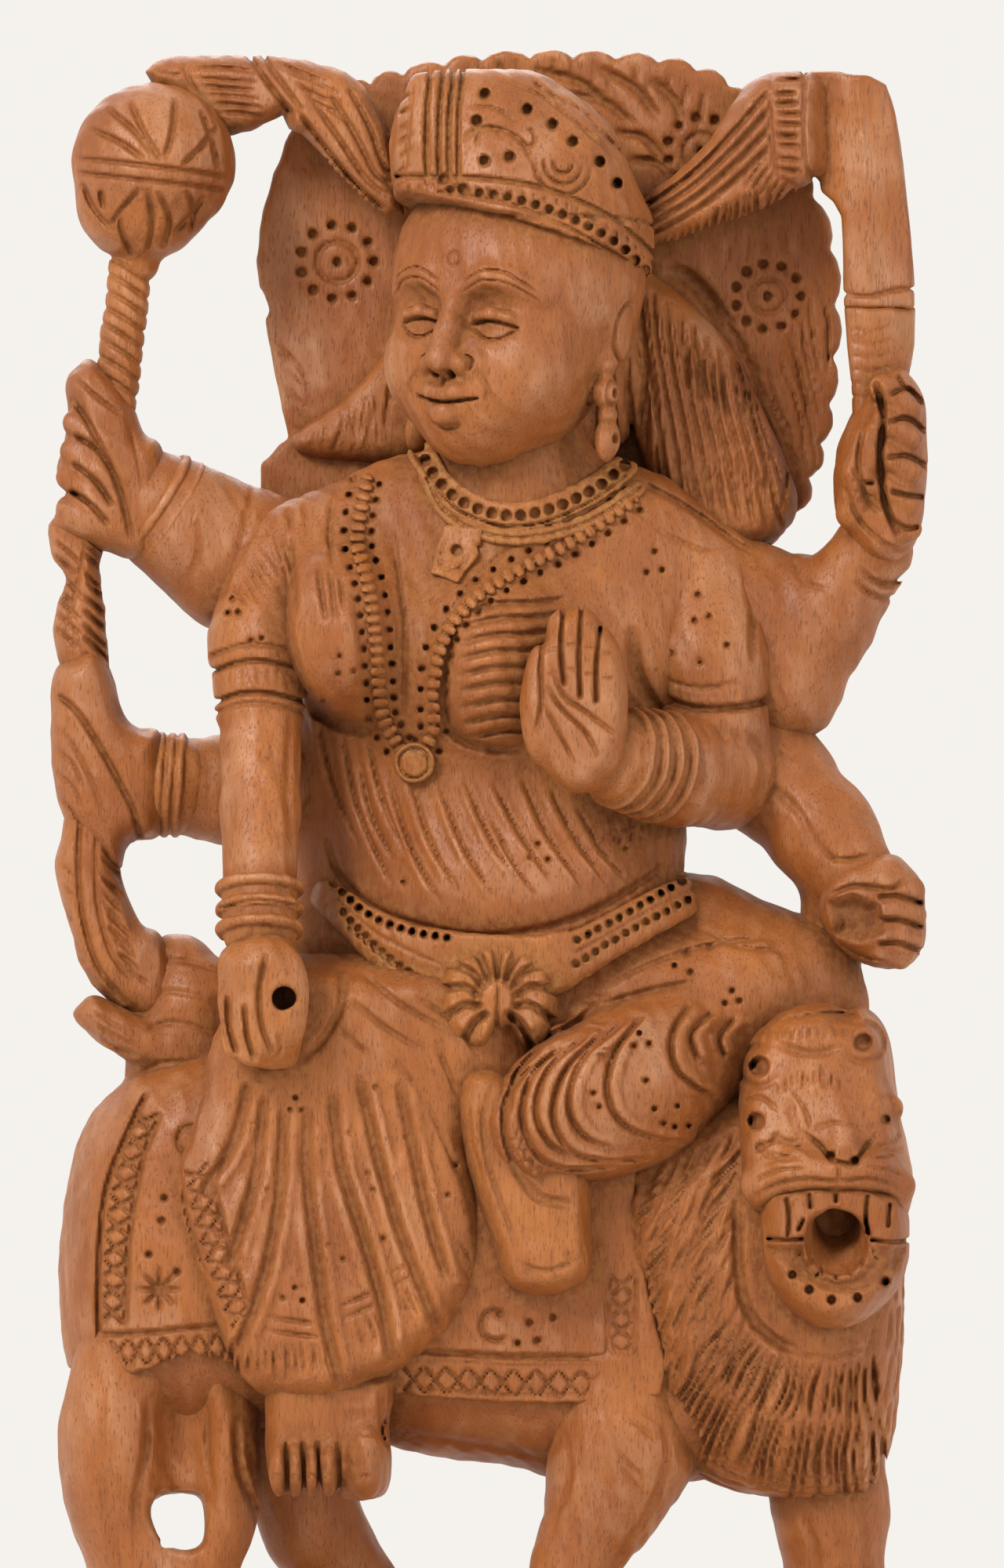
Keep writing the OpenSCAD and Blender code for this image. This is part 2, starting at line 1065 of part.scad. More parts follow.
// ---------------------------------------------------------------- arches that tie the attributes to the crown

module arch_left() {
    outline = [
        [-45.5, 231.2], [-43, 233], [-30, 233], [-19.5, 231], [-15.5, 225], [-13, 216], [-13, 212],
        [-20, 218], [-26, 223.6], [-29, 224.6], [-33, 222], [-36, 217]
    ];
    color(wood)
        scale(k)
            difference() {
                slab(outline, 2, 12);
                mace_head_form();
                crown_cap();
                halo_form();
            }
}

module arch_right() {
    outline = [
        [17, 213], [22, 210.5], [30, 211.5], [36, 215], [40.4, 217], [42, 230.6], [34, 230.6],
        [30, 228], [26, 221], [20, 217]
    ];
    color(wood)
        scale(k)
            difference() {
                slab(outline, 0, 12);
                blade_form();
                crown_cap();
                halo_form();
            }
}

plinth();
lion_body();
lion_mane();
lion_head();
lion_jaw();
hind_leg_left();
hind_leg_right();
fore_leg_left();
fore_leg_right();
lion_tail();
saddle_cloth();
torso();
girdle();
girdle_rosette();
skirt();
hanging_foot();
folded_leg();
folded_foot();
head();
crown();
hair();
halo();
necklace();
garland();
pendant();
front_arm();
front_bangles();
front_fist();
mace_arm();
mace_arm_bangles();
mace_hand();
mace_head();
mace_shaft();
mace_foot();
leaf();
lower_arm();
lower_arm_bangles();
lower_hand();
palm_arm();
palm_bangles();
open_palm();
sword_arm();
sword_hand();
sword_hilt();
sword_blade();
low_right_arm();
low_right_fist();
arch_left();
arch_right();
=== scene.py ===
"""A carved wooden goddess on a lion. Every CAD form is carved again here, with its folds and drill marks.

Forms are signed distances in statue units. One unit is the statue's height / 233, which is a millimetre
at the size of the CAD model, and all places are in the CAD frame: x to the right, y to the back, z up.
"""
import math
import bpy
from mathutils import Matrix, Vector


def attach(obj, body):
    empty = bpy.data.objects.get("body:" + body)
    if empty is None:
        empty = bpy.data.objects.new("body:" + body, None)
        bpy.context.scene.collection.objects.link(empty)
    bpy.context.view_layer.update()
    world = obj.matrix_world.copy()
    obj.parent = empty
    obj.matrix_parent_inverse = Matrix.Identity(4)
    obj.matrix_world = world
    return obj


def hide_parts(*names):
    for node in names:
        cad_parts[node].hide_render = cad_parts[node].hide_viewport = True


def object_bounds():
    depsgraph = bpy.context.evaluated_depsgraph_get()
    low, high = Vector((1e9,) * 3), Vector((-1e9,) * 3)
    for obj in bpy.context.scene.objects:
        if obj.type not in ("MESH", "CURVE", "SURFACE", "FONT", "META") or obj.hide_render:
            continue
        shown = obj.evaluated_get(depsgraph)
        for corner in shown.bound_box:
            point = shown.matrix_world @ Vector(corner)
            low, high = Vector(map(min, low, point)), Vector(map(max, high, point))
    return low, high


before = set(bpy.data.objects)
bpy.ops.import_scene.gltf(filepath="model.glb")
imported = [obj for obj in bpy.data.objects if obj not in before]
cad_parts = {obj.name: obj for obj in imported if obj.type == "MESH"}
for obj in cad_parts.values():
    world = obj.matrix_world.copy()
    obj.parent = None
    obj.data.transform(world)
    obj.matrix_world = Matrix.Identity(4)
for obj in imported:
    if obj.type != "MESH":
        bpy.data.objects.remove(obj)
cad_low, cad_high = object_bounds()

from concurrent.futures import ThreadPoolExecutor

import bpy
import numpy as np

DESIGN_HEIGHT = 233.0
UNIT = (cad_high[2] - cad_low[2]) / DESIGN_HEIGHT
COARSER = 1.0
FAR = 1e3


# ------------------------------------------------------------------ forms

class Form:
    """A solid as a signed distance, negative inside, with the box that bounds it."""

    def __init__(self, dist, low, high):
        self.dist = dist
        self.low = np.array(low, np.float32)
        self.high = np.array(high, np.float32)


def vec(*values):
    return np.array(values, np.float32)


def length(q):
    return np.sqrt(np.einsum("ij,ij->i", q, q))


def turned(yaw=0.0, pitch=0.0, roll=0.0):
    """Rotation about Z by yaw, then X by pitch, then Y by roll, in degrees."""
    a, b, c = (math.radians(v) for v in (yaw, pitch, roll))
    about_z = np.array([[math.cos(a), -math.sin(a), 0], [math.sin(a), math.cos(a), 0], [0, 0, 1]])
    about_x = np.array([[1, 0, 0], [0, math.cos(b), -math.sin(b)], [0, math.sin(b), math.cos(b)]])
    about_y = np.array([[math.cos(c), 0, math.sin(c)], [0, 1, 0], [-math.sin(c), 0, math.cos(c)]])
    return (about_z @ about_x @ about_y).astype(np.float32)


def placed(form, centre, turn=None):
    """A form made round the origin, turned and moved to its place."""
    centre = vec(*centre)
    turn = turned() if turn is None else turn
    corners = np.array([[form.low[0], form.high[0]], [form.low[1], form.high[1]],
                        [form.low[2], form.high[2]]])
    ends = [(x, y, z) for x in corners[0] for y in corners[1] for z in corners[2]]
    box = np.array(ends) @ turn.T + centre
    return Form(lambda p: form.dist((p - centre) @ turn), box.min(0), box.max(0))


def egg(centre, radii, turn=None):
    c, r = vec(*centre), vec(*radii)

    def dist(p):
        q = (p - c) if turn is None else (p - c) @ turn
        k0 = length(q / r)
        k1 = length(q / (r * r))
        return k0 * (k0 - 1) / np.maximum(k1, 1e-6)
    reach = r if turn is None else np.full(3, r.max(), np.float32)
    return Form(dist, c - reach, c + reach)


def limb(beads, blend=0.0, flat=1.0):
    """A rounded limb through beads (x, y, z, radius). flat below 1 makes it thinner from front to back."""
    b = np.array(beads, np.float32)
    squeeze = vec(1, 1 / flat, 1)

    def dist(p):
        q = p * squeeze
        best = None
        for one, two in zip(b[:-1], b[1:]):
            start, along = one[:3] * squeeze, (two[:3] - one[:3]) * squeeze
            t = np.clip((q - start) @ along / max(float(along @ along), 1e-6), 0, 1)
            d = length(q - start - t[:, None] * along) - (one[3] + t * (two[3] - one[3]))
            best = d if best is None else smooth_min(best, d, blend)
        return best * flat
    reach = b[:, 3:4]
    return Form(dist, (b[:, :3] - reach).min(0), (b[:, :3] + reach).max(0))


def block(low, high, edge=0.5):
    low, high = vec(*low), vec(*high)
    centre, half = (low + high) / 2, (high - low) / 2 - edge

    def dist(p):
        q = np.abs(p - centre) - half
        return length(np.maximum(q, 0)) + np.minimum(q.max(1), 0) - edge
    return Form(dist, low, high)


def outline_distance(points, x, z):
    """Signed distance to a closed outline in the XZ plane, negative inside."""
    pts = np.array(points, np.float32)
    best = np.full(x.shape, FAR, np.float32)
    inside = np.zeros(x.shape, bool)
    for (ax, az), (bx, bz) in zip(pts, np.roll(pts, -1, 0)):
        ex, ez = bx - ax, bz - az
        t = np.clip(((x - ax) * ex + (z - az) * ez) / max(ex * ex + ez * ez, 1e-6), 0, 1)
        best = np.minimum(best, (x - ax - t * ex) ** 2 + (z - az - t * ez) ** 2)
        if az != bz:
            inside ^= ((z >= az) != (z >= bz)) & (x < ax + (z - az) * ex / ez)
    return np.where(inside, -1, 1) * np.sqrt(best)


def slab(outline, front, back, edge=0.6):
    """A plate with that outline, seen from the front. The depths of its faces are numbers or f(x, z)."""
    pts = np.array(outline, np.float32)

    def dist(p):
        x, z = p[:, 0], p[:, 2]
        f = front(x, z) if callable(front) else front
        g = back(x, z) if callable(back) else back
        side = outline_distance(pts, x, z) + edge
        deep = np.abs(p[:, 1] - (f + g) / 2) - (g - f) / 2 + edge
        outer = np.sqrt(np.maximum(side, 0) ** 2 + np.maximum(deep, 0) ** 2)
        return outer + np.minimum(np.maximum(side, deep), 0) - edge
    x, z = pts[:, 0], pts[:, 1]
    f = np.min(front(x, z)) - 4 if callable(front) else front
    g = np.max(back(x, z)) + 4 if callable(back) else back
    return Form(dist, (x.min(), f, z.min()), (x.max(), g, z.max()))


def hoop(centre, axis, radius, wire):
    c, a = vec(*centre), vec(*axis)
    a = a / np.linalg.norm(a)

    def dist(p):
        q = p - c
        up = q @ a
        return np.hypot(length(q - up[:, None] * a) - radius, up) - wire / 2
    reach = radius + wire
    return Form(dist, c - reach, c + reach)


def smooth_min(a, b, k):
    if k <= 0:
        return np.minimum(a, b)
    h = np.maximum(k - np.abs(a - b), 0) / k
    return np.minimum(a, b) - h * h * k / 4


def join(*forms, blend=0.0):
    def dist(p):
        d = forms[0].dist(p)
        for f in forms[1:]:
            d = smooth_min(d, f.dist(p), blend)
        return d
    return Form(dist, np.min([f.low for f in forms], 0), np.max([f.high for f in forms], 0))


def carve(form, *tools, blend=0.0):
    def dist(p):
        d = form.dist(p)
        for t in tools:
            d = -smooth_min(-d, t.dist(p), blend)
        return d
    return Form(dist, form.low, form.high)


def common(form, other, blend=0.0):
    return Form(lambda p: -smooth_min(-form.dist(p), -other.dist(p), blend),
                np.maximum(form.low, other.low), np.minimum(form.high, other.high))


def grown(form, by):
    return Form(lambda p: form.dist(p) - by, form.low - by, form.high + by)


def spline(knots, steps):
    """Places along a smooth curve through all the knots but the first and the last."""
    out = []
    for a, b, c, d in zip(knots[:-3], knots[1:-2], knots[2:-1], knots[3:]):
        for t in np.arange(steps) / steps:
            bend = (2 * a - 5 * b + 4 * c - d) * t * t
            twist = (3 * b - a - 3 * c + d) * t ** 3
            out.append(0.5 * (2 * b + (c - a) * t + bend + twist))
    return out


def closed(points, steps=4):
    """A smooth closed outline through given points."""
    p = np.array(points, float)
    return np.array(spline(np.vstack([p[-1:], p, p[:2]]), steps))


def pillow(outline, mid, thick, rim, smooth=True):
    """A cushion-like form: that outline seen from the front, swelling over rim to a half-thickness thick.
    mid is the depth of its middle, as a number or f(x, z)."""
    pts = closed(outline) if smooth else np.array(outline, float)

    def dist(p):
        x, z = p[:, 0], p[:, 2]
        m = mid(x, z) if callable(mid) else mid
        u = np.maximum(1 + outline_distance(pts, x, z) / rim, 0)
        v = np.abs(p[:, 1] - m) / thick
        k0 = np.sqrt(u * u + v * v)
        k1 = np.sqrt((u / rim) ** 2 + (v / thick) ** 2)
        return k0 * (k0 - 1) / np.maximum(k1, 1e-6)
    m = mid(pts[:, 0], pts[:, 1]) if callable(mid) else np.array([mid])
    return Form(dist, (pts[:, 0].min(), m.min() - thick - 1, pts[:, 1].min()),
                (pts[:, 0].max(), m.max() + thick + 1, pts[:, 1].max()))


def scallops(valleys, bulge):
    """The small outward arcs between neighbouring valleys of a carved edge."""
    out = []
    for a, b in zip(valleys[:-1], valleys[1:]):
        dx, dz = b[0] - a[0], b[1] - a[1]
        for t in (0.0, 0.2, 0.5, 0.8):
            lift = bulge * math.sin(math.pi * t) ** 0.7 if t else 0
            size = math.hypot(dx, dz)
            out.append((a[0] + dx * t - dz / size * lift, a[1] + dz * t + dx / size * lift))
    return out + [valleys[-1]]


def strap(base, points, width, rise, back=False):
    """A band that lies on another form along a line seen from the front."""
    c = curve(points, 4)
    mid_y = float(base.low[1] + base.high[1]) / 2

    def dist(p):
        best = np.full(len(p), FAR, np.float32)
        for (ax, az), (bx, bz) in zip(c[:-1], c[1:]):
            ex, ez = bx - ax, bz - az
            share = ((p[:, 0] - ax) * ex + (p[:, 2] - az) * ez) / max(ex * ex + ez * ez, 1e-6)
            t = np.clip(share, 0, 1)
            best = np.minimum(best, (p[:, 0] - ax - t * ex) ** 2 + (p[:, 2] - az - t * ez) ** 2)
        side = np.sqrt(best) - width / 2
        half = (p[:, 1] - mid_y) * (-1 if back else 1)
        return -smooth_min(smooth_min(-side, -(base.dist(p) - rise), 0.6), -half, 0)
    low, high = c.min(0) - width, c.max(0) + width
    return Form(dist, np.maximum((low[0], base.low[1] - rise, low[1]), base.low - rise),
                np.minimum((high[0], base.high[1] + rise, high[1]), base.high + rise))


def bangles(start, end, count, wire, rise=0.3):
    """Rings pushed along an arm from start to end, each (x, y, z, arm radius), over a thin sleeve."""
    a, b = np.array(start, float), np.array(end, float)
    axis = (b - a)[:3]
    rings = [hoop(c[:3], axis, c[3] + rise, wire)
             for c in (a + (b - a) * t for t in np.linspace(0, 1, count))]
    return join(*rings,
                limb([tuple(a[:3]) + (a[3] + rise * 0.4,), tuple(b[:3]) + (b[3] + rise * 0.4,)]),
                blend=0.3)


def digits(rows, blend=0.5):
    """Fingers, each a short limb through its joints."""
    return join(*[limb(row) for row in rows], blend=blend)


# ------------------------------------------------------------------ carved lines

def curve(points, steps=7):
    """A smooth line through given points."""
    p = np.array(points, float)
    if len(p) < 3:
        return p
    ends = np.vstack([2 * p[0] - p[1], p, 2 * p[-1] - p[-2]])
    return np.vstack([spline(ends, steps), p[-1]])


def between(a, b, t):
    return tuple(x + (y - x) * t for x, y in zip(a, b))


def along(points, count):
    """count places spaced evenly along a smooth line, with the direction at each."""
    c = curve(points)
    step = np.hypot(*np.diff(c, axis=0).T)
    reach = np.concatenate([[0], np.cumsum(step)])
    at = np.linspace(0, reach[-1], count)
    x, z = np.interp(at, reach, c[:, 0]), np.interp(at, reach, c[:, 1])
    dx, dz = np.gradient(x), np.gradient(z)
    size = np.maximum(np.hypot(dx, dz), 1e-6)
    return list(zip(x, z, dx / size, dz / size))


class Marks:
    """Depths of the cuts on one side of a piece, as a map over the plane that the knife works on."""
    STEP = 0.1

    def __init__(self, low, high):
        self.low = np.array(low, float)
        size = np.ceil((np.array(high, float) - self.low) / self.STEP).astype(int) + 2
        self.cut = np.zeros(size, np.float32)
        self.raised = np.zeros(size, np.float32)

    def window(self, points, margin):
        a = np.clip(np.floor((points.min(0) - margin - self.low) / self.STEP).astype(int), 0,
                    self.cut.shape)
        b = np.clip(np.ceil((points.max(0) + margin - self.low) / self.STEP).astype(int) + 1, 0,
                    self.cut.shape)
        if (b - a).min() < 2:
            return None
        u = (np.arange(a[0], b[0]) * self.STEP + self.low[0])[:, None].astype(np.float32)
        v = (np.arange(a[1], b[1]) * self.STEP + self.low[1])[None, :].astype(np.float32)
        return (slice(a[0], b[0]), slice(a[1], b[1])), u, v

    def add(self, where, depth):
        if np.max(depth) > 0:
            self.cut[where] = np.maximum(self.cut[where], depth)
        if np.min(depth) < 0:
            self.raised[where] = np.maximum(self.raised[where], -depth)

    def line(self, points, width=0.8, depth=0.4, lean=0.0, taper=0.25, smooth=True):
        """A knife cut, or a ridge if depth is negative. lean 1 slopes away to its left, -1 to its right."""
        c = curve(points) if smooth else np.array(points, float)
        reach = width * (1 + 2 * abs(lean))
        found = self.window(c, reach)
        if found is None:
            return
        where, u, v = found
        near = np.full((u.shape[0], v.shape[1]), FAR, np.float32)
        side = np.zeros_like(near)
        travel = np.zeros_like(near)
        steps = np.hypot(*np.diff(c, axis=0).T)
        total = max(steps.sum(), 1e-6)
        done = 0.0
        for (au, av), (bu, bv), step in zip(c[:-1], c[1:], steps):
            eu, ev = bu - au, bv - av
            t = np.clip(((u - au) * eu + (v - av) * ev) / max(step * step, 1e-9), 0, 1)
            d = np.hypot(u - au - t * eu, v - av - t * ev)
            closer = d < near
            near = np.where(closer, d, near)
            side = np.where(closer, np.sign(eu * (v - av) - ev * (u - au)), side)
            travel = np.where(closer, (done + t * step) / total, travel)
            done += step
        if lean:
            half = np.where(side * lean > 0, width * (0.5 + 1.5 * abs(lean)), width * 0.35)
            profile = np.clip(1 - near / half, 0, 1) ** 1.3
        else:
            profile = np.clip(1 - (near / (width / 2)) ** 2, 0, 1) ** 1.5
        fade = np.clip(np.minimum(travel, 1 - travel) / max(taper, 1e-3), 0, 1) ** 0.6 if taper else 1.0
        self.add(where, profile * fade * depth)

    def dot(self, centre, radius=0.6, depth=1.2):
        """A drilled hole, or a bead where depth is negative."""
        c = np.array([centre], float)
        found = self.window(c, radius * 1.3)
        if found is None:
            return
        where, u, v = found
        near = np.hypot(u - c[0, 0], v - c[0, 1]) / radius
        power = 4 if depth > 0 else 2
        self.add(where, np.clip(1.15 - near ** power, 0, 1) * depth)

    def dots(self, places, radius=0.6, depth=1.2):
        for place in places:
            self.dot(place, radius, depth)

    def circle(self, centre, radius, width=0.7, depth=0.4, start=0, end=360, squash=1.0):
        turn = np.radians(np.linspace(start, end, max(6, int(abs(end - start) / 18))))
        pts = np.stack([centre[0] + radius * np.cos(turn), centre[1] + radius * squash * np.sin(turn)],
                       1)
        self.line(pts, width, depth, taper=0 if abs(end - start) >= 360 else 0.15, smooth=False)

    def hatch(self, edge, across, count, width=0.7, depth=0.4):
        """Parallel strokes from an edge. across is every stroke's vector, or one for each end."""
        first, last = across if isinstance(across[0], tuple) else (across, across)
        hand = np.random.default_rng(int(abs(edge[0][0] * 31 + edge[0][1] * 17)) + count)
        for i, (x, z, _, _) in enumerate(along(edge, count)):
            dx, dz = between(first, last, i / max(count - 1, 1))
            slip, reach, bow, force = hand.uniform(-1, 1, 4) * (width * 0.30, 0.16, 0.08, 0.25)
            x, z, dx, dz = x + slip, z + slip, dx * (1 + reach), dz * (1 + reach)
            middle = (x + dx * 0.5 - dz * bow, z + dz * 0.5 + dx * bow)
            self.line([(x, z), middle, (x + dx, z + dz)], width * (1 + force * 0.6),
                      depth * (1 + force), taper=0.35)

    def lattice(self, edge, across, count, width=0.5, depth=0.3):
        """A band of crossing strokes between an edge and its copy moved by across."""
        places = along(edge, count + 1)
        for (ax, az, _, _), (bx, bz, _, _) in zip(places[:-1], places[1:]):
            self.line([(ax, az), (bx + across[0], bz + across[1])], width, depth, taper=0.1)
            self.line([(bx, bz), (ax + across[0], az + across[1])], width, depth, taper=0.1)

    def patch(self, outline, depth, soft=0.8):
        """Lowers the inside of an outline, or raises it where depth is negative."""
        pts = np.array(outline, float)
        found = self.window(pts, soft)
        if found is None:
            return
        where, u, v = found
        d = outline_distance(pts, np.broadcast_to(u, (u.shape[0], v.shape[1])),
                             np.broadcast_to(v, (u.shape[0], v.shape[1])))
        self.add(where, np.clip(0.5 - d / soft, 0, 1) * depth)

    def sample(self, u, v):
        """The net cut depth at places on the plane."""
        net = self.cut - self.raised
        fu = np.clip((u - self.low[0]) / self.STEP, 0, net.shape[0] - 1.001)
        fv = np.clip((v - self.low[1]) / self.STEP, 0, net.shape[1] - 1.001)
        i, j = fu.astype(np.int32), fv.astype(np.int32)
        a, b = fu - i, fv - j
        return ((net[i, j] * (1 - a) + net[i + 1, j] * a) * (1 - b)
                + (net[i, j + 1] * (1 - a) + net[i + 1, j + 1] * a) * b)


class Views:
    """A piece's cuts from the front, the back and both sides. middle is where the front meets the back."""

    def __init__(self, form, middle):
        pad = 1.0
        lo, hi = form.low - pad, form.high + pad
        self.middle = middle
        self.front = Marks((lo[0], lo[2]), (hi[0], hi[2]))
        self.back = Marks((lo[0], lo[2]), (hi[0], hi[2]))
        self.sides = None
        self.span = ((lo[1], lo[2]), (hi[1], hi[2]))
        self.centre_x = (lo[0] + hi[0]) / 2

    def side(self):
        if self.sides is None:
            self.sides = Marks(*self.span)
        return self.sides

    def depth(self, p):
        x, y, z = p[:, 0], p[:, 1], p[:, 2]
        ahead = np.clip((self.middle - y) / 1.5 + 0.5, 0, 1)
        total = self.front.sample(x, z) * ahead + self.back.sample(x, z) * (1 - ahead)
        if self.sides is not None:
            total = np.maximum(total,
                               self.sides.sample(y, z) * np.clip(np.abs(x - self.centre_x) / 2, 0, 1))
        return total


# ------------------------------------------------------------------ from distance to mesh

def tool_marks(p, size=0.11):
    """The slight unevenness that a knife leaves: long shallow facets."""
    x, y, z = p[:, 0], p[:, 1], p[:, 2]
    lane = (x + 0.6 * y + 1.9 * np.sin(z * 0.11 + 0.05 * x) + 0.8 * np.sin(z * 0.29 + y * 0.2)) / 2.7
    cross = (z + 0.5 * x + 1.6 * np.sin(x * 0.17) + 0.7 * y) / 4.3
    flute = 4 * (lane - np.floor(lane) - 0.5) ** 2
    sweep = 4 * (cross - np.floor(cross) - 0.5) ** 2
    share = 0.5 + 0.5 * np.sin(x * 0.13 + 2 * np.sin(z * 0.07) + y * 0.1)
    ripple = 0.5 * np.sin(x * 1.9 + z * 0.6 + 2.0 * np.sin(y * 0.7))
    return size * (share * (1 - flute) + (1 - share) * (1 - sweep) + ripple)


def fill_field(form, views, h):
    """Samples the carved distance on a lattice of pitch h: exact near the surface, a sign elsewhere."""
    chunk, batch, pad = 6, 600, 0.6
    half_diagonal, deepest_cut, near_surface = 0.87, 1.6, 1.8
    low, high = form.low - 2 * h - pad, form.high + 2 * h + pad
    blocks = np.ceil((high - low) / (h * chunk)).astype(int)
    field = np.full(blocks * chunk, FAR, np.float32)
    grid = np.stack(np.meshgrid(*[np.arange(n) for n in blocks], indexing="ij"), -1).reshape(-1, 3)
    centres = (low + (grid + 0.5) * chunk * h).astype(np.float32)
    reach = chunk * h * half_diagonal + deepest_cut
    near = form.dist(centres)
    sign = np.where(near < 0, -FAR, FAR).astype(np.float32)
    inside = np.argwhere(sign.reshape(blocks) < 0)
    for i, j, k in inside:
        field[i * chunk:(i + 1) * chunk, j * chunk:(j + 1) * chunk, k * chunk:(k + 1) * chunk] = -FAR
    busy = grid[np.abs(near) < reach]
    step = np.stack(np.meshgrid(*[np.arange(chunk)] * 3, indexing="ij"), -1).reshape(-1, 3)
    for part in np.array_split(busy, max(1, len(busy) // batch)):
        cells = (part[:, None, :] * chunk + step[None]).reshape(-1, 3)
        p = (low + cells * h).astype(np.float32)
        d = form.dist(p)
        band = np.abs(d) < near_surface + 2 * h
        q = p[band]
        d[band] += views.depth(q) + tool_marks(q)
        field[cells[:, 0], cells[:, 1], cells[:, 2]] = d
    return field, low


def surface_net(field, low, h):
    """Vertices and quads of the surface where the field changes sign."""
    solid = field < 0
    corners = [(i, j, k) for i in (0, 1) for j in (0, 1) for k in (0, 1)]
    nx, ny, nz = np.array(field.shape) - 1

    def at(a, c):
        return a[c[0]:c[0] + nx, c[1]:c[1] + ny, c[2]:c[2] + nz]
    count = np.zeros((nx, ny, nz), np.uint8)
    for c in corners:
        count += at(solid, c)
    mixed = (count > 0) & (count < 8)
    cells = np.argwhere(mixed)
    number = np.full(mixed.shape, -1, np.int32)
    number[mixed] = np.arange(len(cells), dtype=np.int32)
    total = np.zeros((len(cells), 3), np.float32)
    hits = np.zeros(len(cells), np.float32)
    for axis in range(3):
        for c in corners:
            if c[axis]:
                continue
            e = list(c)
            e[axis] = 1
            a = field[cells[:, 0] + c[0], cells[:, 1] + c[1], cells[:, 2] + c[2]]
            b = field[cells[:, 0] + e[0], cells[:, 1] + e[1], cells[:, 2] + e[2]]
            crossed = (a < 0) != (b < 0)
            t = np.where(crossed, a / np.where(a == b, 1, a - b), 0)
            place = np.array(c, np.float32) * crossed[:, None]
            place[:, axis] += t
            total += place
            hits += crossed
    points = low + (cells + total / np.maximum(hits, 1)[:, None]) * h
    quads = []
    for axis in range(3):
        u, v = (axis + 1) % 3, (axis + 2) % 3
        cut = [slice(0, n - 1) for n in field.shape]
        ahead = list(cut)
        ahead[axis] = slice(1, field.shape[axis])
        change = solid[tuple(cut)] != solid[tuple(ahead)]
        edge = np.argwhere(change)
        edge = edge[(edge[:, u] > 0) & (edge[:, v] > 0)]
        outward = ~solid[tuple((edge + np.eye(3, dtype=int)[axis]).T)]
        du, dv = np.eye(3, dtype=int)[u], np.eye(3, dtype=int)[v]
        ring = [number[tuple((edge - s).T)] for s in (0 * du, du, du + dv, dv)]
        q = np.stack(ring, 1)
        q[~outward] = q[~outward][:, ::-1]
        quads.append(q)
    quads = np.vstack(quads)
    return points.astype(np.float32), quads[(quads >= 0).all(1)]


class Crowding:
    """A coarse map of distances to the whole statue, to find its deep corners, where wax and dust gather
    and painted shade darkens the wood.
    """
    STEP = 1.25
    REACH = 7
    OPEN = 12.0

    def __init__(self, low, high):
        margin = 8
        self.low = np.array(low, np.float32) / UNIT - margin
        size = np.ceil((np.array(high, np.float32) / UNIT + margin - self.low) / self.STEP).astype(int)
        self.map = np.full(size, self.OPEN, np.float32)

    def part(self, form):
        a = np.clip(np.floor((form.low - self.REACH - self.low) / self.STEP).astype(int), 0, None)
        b = np.minimum(np.ceil((form.high + self.REACH - self.low) / self.STEP).astype(int),
                       self.map.shape)
        axes = [np.arange(a[i], b[i]) * self.STEP + self.low[i] for i in range(3)]
        p = np.stack(np.meshgrid(*axes, indexing="ij"), -1).reshape(-1, 3).astype(np.float32)
        return a, b, form.dist(p).reshape(b - a)

    def put(self, a, b, d):
        where = tuple(slice(i, j) for i, j in zip(a, b))
        self.map[where] = np.minimum(self.map[where], d)

    def at(self, p):
        f = np.clip((p - self.low) / self.STEP, 0, np.array(self.map.shape) - 1.001)
        i = f.astype(np.int32)
        t = f - i
        out = 0
        for c in [(i1, j1, k1) for i1 in (0, 1) for j1 in (0, 1) for k1 in (0, 1)]:
            w = np.prod(np.where(np.array(c), t, 1 - t), axis=1)
            out = out + w * self.map[i[:, 0] + c[0], i[:, 1] + c[1], i[:, 2] + c[2]]
        return out

    def hollow(self, p, n):
        """0 on open faces to 1 in deep corners."""
        dark = 0
        for reach, weight in ((1.5, 0.3), (3.0, 0.35), (6.0, 0.35)):
            dark = dark + weight * np.clip(1 - self.at(p + n * reach) / reach, 0, 1)
        return np.clip(dark, 0, 1)


def make_mesh(name, points, quads):
    mesh = bpy.data.meshes.new(name)
    mesh.vertices.add(len(points))
    mesh.vertices.foreach_set("co", (points * UNIT).astype(np.float32).ravel())
    mesh.loops.add(len(quads) * 4)
    mesh.loops.foreach_set("vertex_index", quads.astype(np.int32).ravel())
    mesh.polygons.add(len(quads))
    mesh.polygons.foreach_set("loop_start", np.arange(len(quads), dtype=np.int32) * 4)
    mesh.update(calc_edges=True)
    mesh.polygons.foreach_set("use_smooth", np.ones(len(quads), bool))
    mesh.validate()
    return mesh


PIECES = []


def piece(node, form, draw=None, middle=None, pitch=0.34, finish="wood", dust=0.25, place=None):
    """Notes a piece to carve in place of a CAD node. draw cuts its lines, and middle is the depth where its
    front meets its back. place is (centre, turn) for a form that is made in a frame of its own."""
    middle = float(form.low[1] + form.high[1]) / 2 if middle is None else middle
    world = placed(form, *place) if place else form
    PIECES.append({"nodes": (node,), "form": form, "draw": draw, "middle": middle, "pitch": pitch,
                   "finish": finish, "dust": dust, "place": place, "world": world})


def sculpt(entry):
    views = Views(entry["form"], entry["middle"])
    if entry["draw"]:
        entry["draw"](views)
    h = entry["pitch"] * COARSER
    points, quads = surface_net(*fill_field(entry["form"], views, h), h)
    cut = views.depth(points)
    if entry["place"]:
        centre, turn = entry["place"]
        points = (points @ turn.T + vec(*centre)).astype(np.float32)
    return points, quads, cut


# ------------------------------------------------------------------ the statue
# the lion

